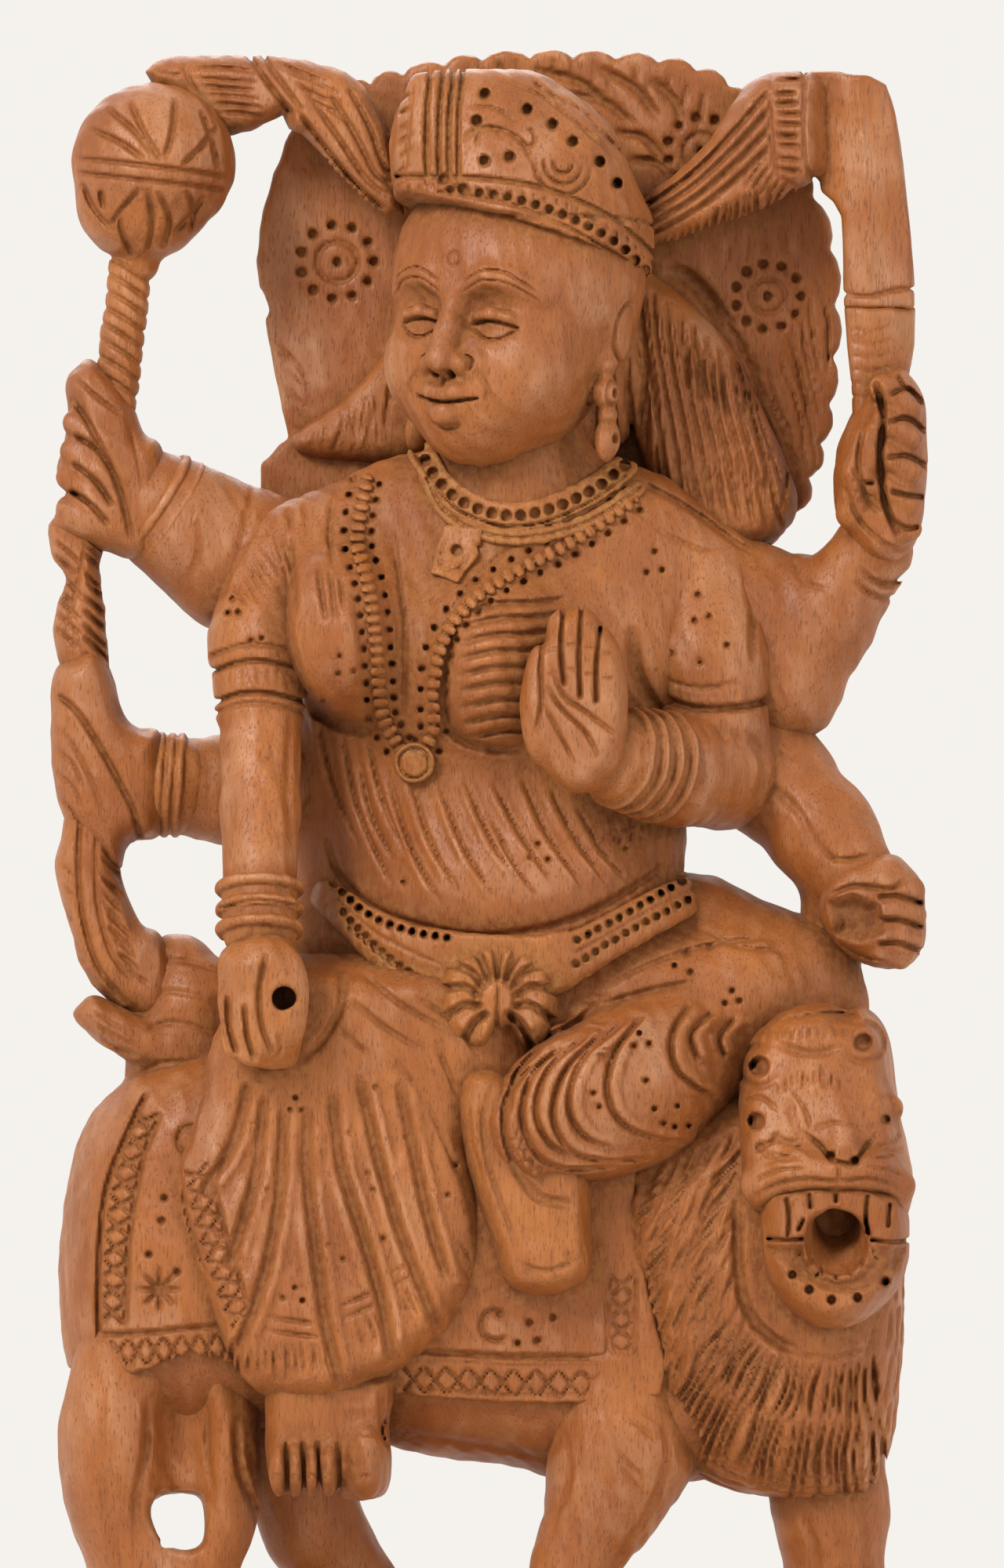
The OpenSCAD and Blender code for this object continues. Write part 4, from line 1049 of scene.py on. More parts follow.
ROSETTE = [(-8.6, 112.5), (-8.0, 116.4), (-5.4, 119.4), (-1.2, 120.8), (3.2, 120.0), (6.4, 117.2),
           (7.6, 113.2), (7.0, 108.8), (4.8, 105.8), (2.2, 106.6), (0.6, 108.8), (-0.8, 107.0),
           (-2.6, 105.4), (-5.8, 106.4), (-8.0, 109.0)]
piece("girdle_rosette",
      join(pillow(ROSETTE, -9.8, 8.6, 2.6), egg((-0.6, -16.2, 112.4), (2.2, 2.6, 3.4)), blend=1.2),
      draw_rosette, middle=0, pitch=0.28, finish="wood_light", dust=0.4)

# the skirt over the hanging leg

SKIRT = [(-36.5, 106), (-40.0, 97.5), (-42.4, 90.5), (-42.2, 86), (-39.8, 78.5), (-36.4, 70),
         (-33.4, 64.4), (-29, 61.4), (-24, 60.8), (-20, 61.4), (-16, 63.4), (-11.4, 66.2),
         (-7.4, 69.6), (-4.4, 73.6), (-2.4, 78.8), (-2.2, 86), (-3.4, 94), (-2, 103), (2, 110),
         (0, 116), (-10, 117), (-20, 116), (-28, 118), (-34, 114)]
PLEATS = [[(-32.5, 102), (-34.6, 94), (-38.4, 88.0)], [(-30.8, 101), (-31.7, 90), (-35.2, 78.0)],
          [(-28.2, 99), (-28.7, 88), (-30.7, 77), (-34, 67.4)],
          [(-25, 99), (-25.2, 90), (-24.2, 82), (-22.9, 72), (-20.7, 62.8)],
          [(-22, 101), (-21, 92), (-18.2, 83), (-15.7, 74), (-14.3, 66)],
          [(-18.5, 103), (-16, 92), (-13, 82), (-9.5, 73), (-8.2, 70)],
          [(-13.5, 102), (-11.5, 93), (-9.3, 83), (-7.0, 76)]]


def draw_skirt(v):
    f = v.front
    for groove in PLEATS:
        f.line(groove, 2.6, 1.0, lean=1, taper=0.08)
        f.line(groove, 0.8, 0.9, taper=0.05)
        f.line([(x + 1.6, z) for x, z in groove], 2.4, -0.8, taper=0.1)
        f.line([(x - 1.2, z) for x, z in groove[1:]], 2.6, -0.35, taper=0.1)
        f.line([(x + 2.2, z - 4) for x, z in groove[1:-1]], 0.6, 0.3, taper=0.3)
    for a, b in (((-31.8, 70.6), (-23.2, 69.4)), ((-31.0, 72.2), (-24, 71.2)),
                 ((-21, 73.2), (-16.4, 75.2)), ((-20.6, 71.6), (-16.2, 73.6)),
                 ((-14.6, 77.4), (-11, 79.2)), ((-14.4, 75.8), (-10.6, 77.6)),
                 ((-9.8, 82.2), (-7.4, 83.6)), ((-36.6, 82.6), (-35.0, 81.4))):
        f.line([a, between(a, b, 0.5), b], 0.8, 0.65, taper=0.1)
    f.hatch([(-34.0, 69.6), (-28, 68.8), (-21.6, 69.2)], ((-0.8, -4.8), (1.2, -4.8)), 13, 0.7, 0.65)
    f.hatch([(-20.6, 70.8), (-15.6, 73.2)], ((1.0, -5.6), (2.2, -4.8)), 6, 0.7, 0.65)
    f.hatch([(-14, 75.4), (-10.2, 77.6)], ((1.6, -5.8), (2.6, -4.6)), 6, 0.7, 0.65)
    f.hatch([(-9, 81.0), (-6.0, 82.2)], ((1.4, -5.2), (2.4, -4.2)), 5, 0.7, 0.6)
    f.lattice([(-40.6, 90.5), (-39.4, 84.6), (-37.0, 77), (-34.6, 70.4)], (3.2, 1.4), 9, 0.6, 0.8)
    f.line([(-37.4, 93), (-36.0, 85.6), (-33.6, 77.4), (-31.4, 70.4)], 0.8, 0.9)
    f.line([(-41.0, 91), (-40.2, 85), (-37.8, 77.4)], 0.6, 0.6)
    f.dots([(-26.3, 100), (-27, 98.5), (-25.6, 98.4), (-32, 96.5), (-16.2, 101.3), (-29.9, 88.3),
            (-17.2, 90.3), (-14.7, 89), (-16.5, 88.3), (-22.2, 81.2), (-22.4, 79.2), (-20.3, 79.4),
            (-15.2, 82), (-26.5, 75.8), (-27.9, 74.5), (-25.4, 74.2), (-6, 91.3), (-8.7, 88),
            (-7, 87.6), (-19.5, 95.5), (-12.2, 95)], 0.4, 1.0)
    for points in ([(-20, 113), (-15, 109), (-10, 106)], [(-18, 116), (-13, 112), (-7, 108.6)],
                   [(-21, 109), (-17, 105.5)], [(-11, 113), (-6, 109.5), (-2.6, 105)],
                   [(-14.5, 106), (-9.5, 99), (-5.5, 90)], [(-8.5, 107), (-5.5, 100)],
                   [(-25.5, 106.5), (-28, 104.4), (-31.5, 104)], [(-35, 112), (-37, 108)],
                   [(-33.0, 112.5), (-35.4, 108.4)]):
        f.line(points, 1.0, 0.6)
    f.line([(-25.8, 104.8), (-22.8, 107.5), (-20.5, 112), (-20.5, 117)], 1.6, 0.8)


def skirt_mid(x, z):
    flare = np.clip((100 - z) / 35, 0, 1)
    return -7 - 5.4 * flare - 1.4 * np.cos((x + 20) / 18) * (1 - flare)


piece("skirt",
      join(pillow(SKIRT, skirt_mid, 8.6, 4.2),
           limb([(-9, -3, 111, 9.5), (-21, -4.5, 107, 10.5), (-27, -5.5, 104, 9.5)], 3),
           egg((-2.5, -8.5, 103.5), (7.5, 7.5, 9.5)), blend=4), draw_skirt, middle=-3, pitch=0.32)


def draw_hanging_foot(v):
    f = v.front
    for x in (-27.4, -25.3, -23.4, -20.8):
        f.line([(x - 0.2, 56.2), (x, 53.0), (x + 0.1, 48.6)], 0.7, 0.8, taper=0.15)
    for x in (-28.6, -26.3, -24.2, -22.0, -17.5):
        f.line([(x - 0.7, 51.4), (x, 51.9), (x + 0.7, 51.4)], 0.45, 0.3)
    f.line([(-14.6, 59.6), (-15.4, 57.6), (-14.6, 55.4)], 0.7, 0.6)
    f.line([(-19, 57.4), (-16.8, 57.0), (-14.8, 57.6)], 0.5, 0.3)


FOOT = [(-30.0, 64), (-30.3, 58), (-29.8, 52), (-28.2, 49.3), (-26, 49.6), (-24, 50.0), (-21.6, 50.2),
        (-20.3, 48.9), (-17, 48.6), (-14.6, 49.8), (-14.0, 53), (-14.4, 58), (-13.8, 62), (-15, 65),
        (-28, 65)]
piece("hanging_foot",
      join(pillow(FOOT, -11.6, 7.0, 2.8), egg((-17.4, -16.6, 54.0), (2.8, 4.4, 5.2)),
           *[egg((x, -17.2, 52.6), (1.3, 4.0, 3.6)) for x in (-28.5, -26.3, -24.2, -22.0)], blend=1.2),
      draw_hanging_foot, middle=-10, pitch=0.3)

# the folded leg

THIGH = join(limb([(3, -2, 110.5, 11.0), (17, -3.6, 111.5, 10.6), (30, -2.8, 112, 9.4),
                   (37.5, -2, 110, 6)], 3),
             limb([(16, 3, 122, 7.6), (25, 2, 120.6, 7.2), (32, 1, 117.6, 6.8),
                   (38.6, 0.5, 115.6, 6.8), (42.0, 0, 111.4, 4.8)], 3), blend=3)
SHIN = limb([(28.0, -3.5, 107.5, 8.0), (19.5, -11, 103.6, 9.4), (16, -13, 101.4, 10.4),
             (10.5, -15, 99.4, 10.0), (4.8, -16, 96.4, 7.6)], 2)


def draw_folded_leg(v):
    f = v.front
    folds = [[(4.2, 104.4), (0.6, 100), (0.3, 95), (2, 91), (5, 88.6)],
             [(9, 107), (4.2, 103.5), (2.5, 98), (4.2, 93), (8, 91), (15, 91.3)],
             [(10.8, 107.8), (6.0, 103.8), (4.2, 98.4), (6.0, 94.2), (9.5, 92.6)],
             [(14, 109), (8.4, 104), (6.4, 98), (8.4, 93.5), (13, 92), (19, 92.3)],
             [(15.8, 109.8), (10.2, 104.8), (8.4, 99.2), (10.4, 95.2), (14, 93.6)],
             [(18, 110.5), (14.5, 106), (13.3, 101), (15, 97), (19, 95), (24, 94.3)],
             [(24, 112), (21.6, 108), (22, 104), (24.5, 101.5), (27.4, 100)],
             [(27, 111), (24, 108), (25, 104.6)], [(5.0, 106.6), (1.6, 102.6), (1.0, 98)],
             [(29.6, 110), (27.6, 107.6), (28.4, 105)]]
    for fold in folds:
        f.line(fold, 0.9, 0.9, taper=0.1)
        f.line([(x + 1.2, z + 0.1) for x, z in fold], 2.2, -0.65, taper=0.15)
    f.lattice([(0.6, 94.4), (2.0, 90.8), (5, 88.4), (9, 88.0)], (1.6, 1.8), 8, 0.5, 0.5)
    f.line([(0.4, 93.6), (2.2, 89.4), (5, 87.4), (9.4, 87.4)], 0.7, 0.6)
    f.dots([(17.5, 108.2), (18.7, 106.8), (16.7, 106.6), (18.3, 102.2), (22.3, 99), (20.5, 96.8),
            (22, 96.3), (23.7, 96.5), (19.4, 98.6), (11.6, 100.6), (12.4, 98.8)], 0.4, 1.0)
    f.dots([(24, 116), (22, 116.8), (23.4, 118.4), (26.5, 119.2), (29.3, 113.6), (30.2, 112.3),
            (28.4, 112.0)], 0.45, 1.0)
    f.line([(12.4, 113.6), (18, 116.6), (26, 119.4), (35, 120.4)], 0.9, 0.6)
    f.line([(12, 111.6), (19, 113.6), (25, 114.8)], 1.3, 0.8)
    f.hatch([(24.6, 108.6), (22, 98)], ((5.0, -1.5), (5.0, -0.5)), 6, 0.45, 0.25)
    f.hatch([(9.6, 113.6), (10.6, 105.8)], ((4.5, -0.5), (3.5, -1.5)), 6, 0.7, 0.4)
    f.line([(25.4, 121.6), (30.5, 119.2), (36, 118.8)], 0.8, 0.5)
    f.line([(13.0, 112.8), (9.4, 109.4), (3.6, 106.6), (-0.2, 104)], 1.6, 0.9)
    v.back.hatch([(4, 120), (30, 121)], ((3, -14), (6, -12)), 9, 1.2, 0.5)


piece("folded_leg", join(THIGH, SHIN, blend=1.6), draw_folded_leg, middle=-1, pitch=0.32)


def draw_folded_foot(v):
    f = v.front
    f.line([(-1.0, 102), (-2.4, 97), (-1.6, 91), (0.8, 84), (2.4, 79)], 1.0, 0.45)
    f.line([(-3.8, 101), (-4.0, 95.6), (-2.2, 88.4)], 0.6, 0.3)
    f.line([(1.2, 91.6), (4.6, 87.4), (9.6, 86.2)], 2.0, 0.8)
    f.line([(1.6, 79.2), (5.5, 77.9), (10, 79.4)], 0.9, 0.5)
    f.hatch([(6.4, 80.8), (10.4, 81.6)], ((0.3, -2.6), (0.5, -2.6)), 3, 0.6, 0.4)
    v.back.line([(2, 100), (4, 80)], 1.5, 0.4)


SOLE = [(-5.8, 101.0), (-5.6, 97), (-4.2, 90), (-1.2, 80.6), (-0.2, 77.2), (1.6, 75.2), (5.5, 74.6),
        (9.6, 75.8), (11.6, 78.4), (11.4, 84), (11.4, 90), (9, 94), (4, 99), (0, 103.4), (-4, 103.8)]
piece("folded_foot",
      join(pillow(SOLE, -12.6, 7.4, 2.4), egg((5.6, -16.0, 79.4), (4.8, 4.4, 3.6)),
           egg((2.0, -12, 96), (5.0, 6.5, 6.5)), blend=1.8), draw_folded_foot, middle=-10, pitch=0.3,
      finish="wood_light")

# the arms on the figure's right side

SLEEVE = join(limb([(-28.9, -0.4, 166.4, 6.9), (-30.4, -4.5, 158, 6.5), (-30.9, -8, 150, 5.9)], 3),
              limb([(-30.8, -8, 151, 5.3), (-30.8, -12.5, 137, 5.1), (-30.9, -16.6, 123, 4.6)], 1),
              blend=0.6)


def draw_front_arm(v):
    f = v.front
    f.hatch([(-34.6, 165.5), (-32.4, 169.6), (-29.6, 172.4)], ((2.4, -3.6), (3.2, -5.0)), 9, 0.7, 0.55)
    f.line([(-29.4, 172.6), (-27.6, 168), (-25.6, 162)], 0.7, 0.5)
    f.dots([(-34.3, 163.6), (-34.9, 161.8), (-33.6, 161.9), (-32, 158.3), (-30.6, 158.6)], 0.42, 0.9)
    for z, depth in ((157.3, 0.6), (155.2, 0.9), (151.2, 1.1), (149.8, 0.5)):
        f.line([(-37, z - 1.0), (-33.5, z + 0.3), (-30, z + 0.4), (-24.5, z - 0.8)], 0.9, depth,
               taper=0)
    f.hatch([(-36, 154.6), (-31, 155.2), (-26, 154.6)], (0.2, -2.8), 9, 0.5, 0.25)
    f.circle((-30, 143.9), 0.9, 0.6, 0.4, 150, 400)
    f.line([(-26.8, 150), (-27.4, 140), (-26.8, 131)], 1.4, 0.3)
    f.line([(-27.8, 149), (-31.8, 138)], 0.5, 0.15)
    for z in (155.2, 151.2):
        v.back.line([(-37, z - 0.6), (-24, z)], 0.9, 0.8, taper=0)


piece("front_arm", SLEEVE, draw_front_arm, middle=-6, pitch=0.32)
piece("front_bangles", bangles((-30.9, -15.2, 126.6, 4.9), (-30.9, -16.7, 121.4, 4.8), 3, 1.7, 0.1),
      lambda v: v.front.line([(-36, 124.2), (-31, 125.2), (-26, 124.4)], 0.6, 0.4, taper=0),
      pitch=0.28, finish="wood_light")


def draw_front_fist(v):
    f = v.front
    f.line([(-30.0, 118.6), (-31.0, 113.6), (-30.6, 109), (-29.2, 105.4)], 0.9, 0.8, taper=0.15)
    f.line([(-35.0, 113), (-34.8, 109), (-33.8, 105.6)], 0.9, 0.9, taper=0.15)
    f.line([(-32.9, 112), (-32.5, 108), (-31.6, 104.8)], 0.9, 0.9, taper=0.15)
    f.line([(-28.6, 108.4), (-28.2, 106.4), (-28.8, 104.8)], 0.7, 0.4)
    v.side().hatch([(-22, 115), (-14, 115)], (0, -8), 4, 0.9, 0.7)


FIST = [(-35.8, 118.6), (-36.3, 114.5), (-35.8, 110), (-34.6, 106.2), (-32.6, 104.2), (-29.5, 103.6),
        (-26.6, 103.9), (-25.5, 106.5), (-25.2, 111), (-25.4, 116), (-26.8, 120), (-31, 121.4)]
piece("front_fist",
      carve(join(pillow(FIST, -18.2, 7.2, 4.2), egg((-27.4, -22.6, 112.6), (2.9, 2.6, 6.8)),
                 digits([[(-34.4, -21.6, 112, 1.9), (-33.9, -21, 106.4, 1.7)],
                         [(-32.2, -23.0, 111.5, 1.9), (-31.9, -22.4, 105.8, 1.8)]]), blend=1.4),
            limb([(-27.8, -30, 112.7, 1.45), (-27.8, -14, 112.7, 1.45)]), blend=0.5), draw_front_fist,
      middle=-17, pitch=0.26, finish="wood_light")


def draw_upper_rear_arm(v):
    v.front.line([(-31.5, 178.4), (-33, 172), (-34, 165)], 1.2, 0.3)
    v.front.line([(-39.4, 176.0), (-38.6, 170), (-40.4, 165.4)], 1.0, 0.35)


piece("mace_arm",
      limb([(-25, 5, 166, 9.4), (-34, 5, 168.8, 8.6), (-41, 3.5, 173.4, 7.0), (-45, 3, 176, 6.4)], 4),
      draw_upper_rear_arm, pitch=0.4)
piece("mace_arm_bangles", bangles((-40.6, 3.5, 173.2, 6.9), (-44.2, 3, 175.6, 6.6), 3, 1.6, 0.3),
      pitch=0.3, finish="wood_light")


def draw_mace_hand(v):
    f = v.front
    f.line([(-54.8, 189.4), (-52.4, 185.4), (-50.2, 181), (-48.5, 176.6), (-47.2, 171)], 1.1, 0.9,
           taper=0.1)
    for a, b, c in (((-54.6, 184.6), (-51.4, 182.4), (-49.0, 178.6)),
                    ((-54.8, 181.0), (-51.8, 178.6), (-49.6, 175.4)),
                    ((-55.2, 177.6), (-52.4, 175.6), (-50.0, 172.8))):
        f.line([a, b, c], 1.0, 1.0, taper=0.15)
    f.line([(-54.6, 192.0), (-51.0, 188.8), (-48.4, 187.0)], 0.8, 0.6)
    f.line([(-47.6, 185.6), (-46.4, 181.4), (-45.8, 177)], 0.8, 0.4)


MACE_HAND = [(-52.2, 194.2), (-54.6, 193.0), (-55.7, 191), (-55.4, 187.6), (-56.0, 183),
             (-56.9, 179.8), (-55.6, 177.6), (-56.6, 175.4), (-57.3, 172.6), (-54.5, 170.6),
             (-50, 169.4), (-47.4, 168.6), (-44.8, 168.8), (-42.6, 172), (-42.4, 178), (-43.6, 183.4),
             (-45.6, 184.8), (-46.8, 188), (-48.6, 191)]
piece("mace_hand",
      join(pillow(MACE_HAND, 2.6, 6.0, 3.8),
           digits([[(-54.4, -1.4, 186.0, 1.7), (-50.6, -2.6, 183.4, 1.8), (-48.6, -2.2, 179.8, 1.6)],
                   [(-54.8, -1.2, 182.4, 1.7), (-51.4, -2.4, 179.8, 1.8), (-49.4, -2.0, 176.2, 1.6)],
                   [(-55.2, -0.8, 179.0, 1.6), (-52.2, -2.2, 176.6, 1.7), (-50.2, -1.8, 173.4, 1.5)],
                   [(-55.4, -0.4, 175.2, 1.5), (-53.0, -1.4, 173.4, 1.5)]]), blend=1.2),
      draw_mace_hand, pitch=0.28)


def draw_mace_head(v):
    for f in (v.front, v.back):
        f.line([(-54.3, 219.8), (-48, 219.2), (-40, 218.2), (-34.9, 217.4)], 0.8, 0.6, taper=0.08)
        f.line([(-54.3, 218.0), (-48, 217.3), (-40, 216.4), (-35.2, 215.7)], 0.8, 0.6, taper=0.08)
        for stroke in ([(-47.4, 227), (-45.4, 222.6), (-43.4, 219.4)],
                       [(-38.4, 226), (-37.0, 222), (-36.2, 218.4)],
                       [(-52.6, 223.6), (-48.6, 221.8), (-45.6, 219.6)],
                       [(-50.4, 226.2), (-47, 223.4), (-44.6, 220.4)],
                       [(-41.6, 227.4), (-42.0, 223.4), (-43.0, 219.6)],
                       [(-36.2, 223.8), (-38.6, 221), (-40.8, 218.8)],
                       [(-53.4, 216.6), (-52, 213.4), (-49.4, 210.4)],
                       [(-46.0, 216), (-48.4, 213.4), (-50.2, 210.8)],
                       [(-49, 213), (-48.2, 209.8), (-47, 207.4)],
                       [(-45.2, 216), (-44.6, 211.4), (-45.6, 207.4)],
                       [(-43.8, 215.6), (-42.4, 211.8), (-43.4, 208.2)],
                       [(-40.2, 215.8), (-39.4, 213.4), (-39.8, 210.6)],
                       [(-38.0, 215.0), (-39.8, 212.4), (-42, 210.2)],
                       [(-51.2, 215.8), (-50.8, 213.2)]):
            f.line(stroke, 1.0, 0.75, taper=0.2)


piece("mace_head",
      join(egg((-44.4, 2, 219.3), (10.5, 10.2, 10.2)), egg((-46.0, 2, 214.2), (8.4, 8.2, 7.6)),
           limb([(-46.6, 2, 208.4, 3.2), (-46.6, 2, 206.4, 2.9)]), blend=1), draw_mace_head,
      pitch=0.28)


def draw_mace_shaft(v):
    for f in (v.front, v.back):
        for i in range(12):
            x, z = -47.2 - i * 0.22, 207.6 - i * 2.1
            f.line([(x - 2.9, z + 1.9), (x, z + 0.2), (x + 2.9, z - 1.9)], 0.8, 0.6, taper=0.3)


piece("mace_shaft", limb([(-46.9, 2, 210, 2.9), (-48.0, 2, 200, 2.9), (-50.0, 2, 184, 3.0)]),
      draw_mace_shaft, pitch=0.28, finish="wood_light")


def draw_mace_foot(v):
    f = v.front
    f.line([(-53.0, 171), (-54.0, 166), (-55.6, 159)], 0.8, 0.6)
    f.hatch([(-53.6, 173), (-53.2, 166), (-53.4, 157)], ((3.0, -3.0), (3.0, -3.4)), 10, 0.8, 0.9)
    f.hatch([(-57.0, 171), (-57.0, 160)], ((3.4, -3.2), (3.2, -3.2)), 7, 0.8, 0.8)


COLUMN = [(-57.2, 174), (-57.6, 169.4), (-55.8, 166.4), (-56.8, 162.6), (-57.3, 158.8), (-55.6, 154),
          (-50.4, 154), (-50.2, 158), (-50.6, 163), (-51.2, 168), (-49.6, 174)]
piece("mace_foot", pillow(COLUMN, 2.6, 4.0, 2.8), draw_mace_foot, pitch=0.28)


def draw_lower_hand(v):
    f = v.front
    f.line([(-56.6, 151.4), (-54.2, 149.2), (-51.8, 145.6), (-49.2, 141), (-47.0, 136.6), (-46, 132.6)],
           1.1, 0.9, taper=0.05)
    f.line([(-57, 147.6), (-54.4, 144.4), (-52.0, 139.6), (-50.4, 134.6)], 0.7, 0.4)
    f.line([(-50.6, 155.6), (-48.8, 152), (-45.6, 148.6)], 0.7, 0.4)
    for i in range(4):
        f.line([(-57 + i * 0.2, 144.6 - i * 3), (-54.6, 142.4 - i * 3), (-53.4, 139.4 - i * 3)], 0.7,
               0.5)


LOWER_HAND = [(-52.0, 157.6), (-55.4, 156.4), (-57.4, 153.4), (-57.6, 148), (-57.3, 141),
              (-56.2, 136.2), (-54.5, 133.6), (-49, 129), (-47.4, 132.4), (-43.6, 133.4), (-42.4, 139),
              (-43.4, 146.4), (-46.2, 147.2), (-48.2, 149.0), (-49.8, 154.6)]
piece("lower_hand", pillow(LOWER_HAND, 2.6, 5.8, 3.8), draw_lower_hand, pitch=0.28)
piece("lower_arm", limb([(-25, 8, 140, 6.2), (-34, 5.6, 139.2, 6.5), (-44, 4, 139.8, 6.1)], 3),
      lambda v: v.front.hatch([(-41, 143), (-34, 143)], ((0.4, -9), (0.4, -9)), 3, 0.8, 0.2),
      pitch=0.4)
piece("lower_arm_bangles", bangles((-41.2, 4, 139.8, 6.2), (-43.8, 4, 140, 6.2), 3, 1.15, 0.05),
      pitch=0.3, finish="wood_light")


def draw_leaf(v):
    f = v.front
    f.line([(-53.6, 137), (-54.0, 131), (-53.6, 124), (-51.6, 117), (-48, 112)], 1.0, 0.8, taper=0.1)
    f.line([(-51.6, 135), (-51.8, 130), (-51.4, 124), (-49.6, 118), (-46, 114)], 0.8, 0.5, taper=0.1)
    f.hatch([(-51.2, 134), (-51.2, 126), (-48.4, 117)], ((2.6, -3.4), (3.4, -3.0)), 11, 0.8, 0.65)
    f.hatch([(-56.4, 130), (-55.6, 122), (-53.6, 116)], ((1.8, -2.2), (2.0, -2.2)), 6, 0.6, 0.35)
    v.back.hatch([(-53, 134), (-48, 117)], (-3, -3), 9, 0.9, 0.5)


LEAF = [(-55.0, 137), (-56.3, 133), (-57.1, 129.5), (-56.5, 126), (-55.1, 121.4), (-54.0, 117.2),
        (-51.4, 113.4), (-46, 109.8), (-42, 111), (-41.5, 116), (-43.5, 120.8), (-46.0, 122.4),
        (-48.2, 127), (-48.6, 131), (-47.6, 136)]
piece("leaf", pillow(LEAF, 2.2, 4.4, 3.4), draw_leaf, pitch=0.28)

# the arms on the figure's left side

PALM_ARM = join(limb([(25, 2.4, 165, 7.8), (26.2, -0.5, 156, 7.6), (27.0, -2.4, 147, 7.2)], 3),
                limb([(28, -1, 141.6, 7.6), (22, -8.5, 141.8, 6.9), (14.5, -15.5, 143.4, 5.5)], 2),
                blend=1.0)


def draw_palm_arm(v):
    f = v.front
    f.dots([(25, 164.1), (24.5, 160.9), (26.4, 161.3), (18.6, 160.8), (25.2, 155.5), (28.6, 157.8),
            (21.6, 156.6)], 0.42, 0.9)
    f.line([(19.6, 151.2), (25, 149.6), (31.5, 150.0), (35, 151.4)], 1.3, 1.3, taper=0.05)
    f.line([(20.4, 153.4), (25, 152.2), (30.4, 153.0)], 0.8, 0.5)
    f.hatch([(21, 152.8), (31, 152.6)], (0.3, -2.8), 9, 0.5, 0.3)
    f.line([(34.8, 168.5), (33, 165), (32, 161), (31.8, 155)], 1.4, 0.7)
    f.line([(20.6, 168), (20.0, 161), (20.8, 154)], 1.2, 0.35)
    f.line([(31.0, 147), (33.2, 142.6), (32.4, 137.4)], 1.6, 0.5)
    f.hatch([(25.4, 148), (31, 147)], (1.4, -2.6), 4, 0.6, 0.3)


piece("palm_arm", PALM_ARM, draw_palm_arm, middle=2, pitch=0.34)
piece("palm_bangles", bangles((20.0, -10.6, 142.2, 6.5), (15.0, -15.0, 143.4, 5.8), 4, 1.35, 0.3),
      pitch=0.28, finish="wood_light")


def draw_palm(v):
    f = v.front
    f.line([(7.8, 162.4), (7.5, 157), (7.9, 152.4)], 0.8, 1.1, taper=0.05)
    f.line([(10.1, 162.6), (9.8, 156), (10.0, 150.8)], 0.8, 1.1, taper=0.05)
    f.line([(12.5, 160.2), (12.0, 155), (12.0, 150.2)], 0.8, 1.1, taper=0.05)
    f.line([(6.2, 155.4), (7.8, 151.4), (11.0, 149.0), (14.6, 146.2)], 0.7, 0.6)
    f.line([(5.6, 152.6), (7.6, 149.6), (10.6, 146.6), (12.4, 143.2)], 0.7, 0.6)
    f.line([(5.4, 150), (7.2, 146.6), (9.4, 142.4)], 0.6, 0.5)
    f.line([(5.4, 159), (4.9, 155), (5.0, 150.4), (4.2, 146)], 0.8, 0.7)
    for z in (157.8, 154.6):
        for x in (6.6, 8.9, 11.2, 13.4):
            f.line([(x - 0.8, z - abs(x - 9) * 0.25), (x + 0.8, z - abs(x - 9) * 0.25)], 0.45, 0.3,
                   taper=0.2)


PALM = [(2.7, 150), (2.9, 154.6), (4.0, 157.4), (5.4, 158.4), (6.0, 161.2), (7.2, 162.4), (8.6, 162.2),
        (10.0, 162.8), (11.6, 162.0), (12.8, 160.4), (14.2, 159.2), (15.5, 156.4), (16.1, 152),
        (15.9, 147), (14.4, 142.6), (11.6, 139.4), (8.8, 138.9), (5.6, 141.4), (3.4, 145.6)]
piece("open_palm",
      join(pillow(PALM, -19.6, 3.8, 2.6), egg((4.8, -20.6, 149), (2.4, 3.0, 6.6)),
           egg((12.6, -20.4, 145.4), (3.2, 2.9, 4.6)), egg((12, -17.2, 143.4), (4.6, 3.8, 4.4)),
           blend=1.2), draw_palm, middle=-18.6, pitch=0.24, finish="wood_light")


def draw_sword_arm(v):
    f = v.front
    f.line([(45.6, 168), (47, 166.2), (49.6, 165.6), (52.2, 167.4)], 0.9, 0.8)
    f.line([(44.6, 166.0), (47, 164.2), (50, 163.8), (52.4, 165.2)], 0.7, 0.6)
    f.line([(36.6, 170), (38.4, 166), (42, 164.6)], 0.8, 0.4)
    f.line([(34.2, 160), (34.6, 154), (36.4, 149)], 1.2, 0.3)
    f.line([(44, 158.5), (43.6, 154)], 0.5, 0.2)


piece("sword_arm",
      join(limb([(28, 5, 162, 9.0), (35.8, 4, 152.6, 7.2), (41.0, 3, 160.4, 6.1),
                 (47.2, 1.5, 169.6, 5.3)], 2), limb([(30, 6, 164, 7.6), (36.4, 5, 163.4, 6.2)], 2),
           blend=3), draw_sword_arm, pitch=0.36)


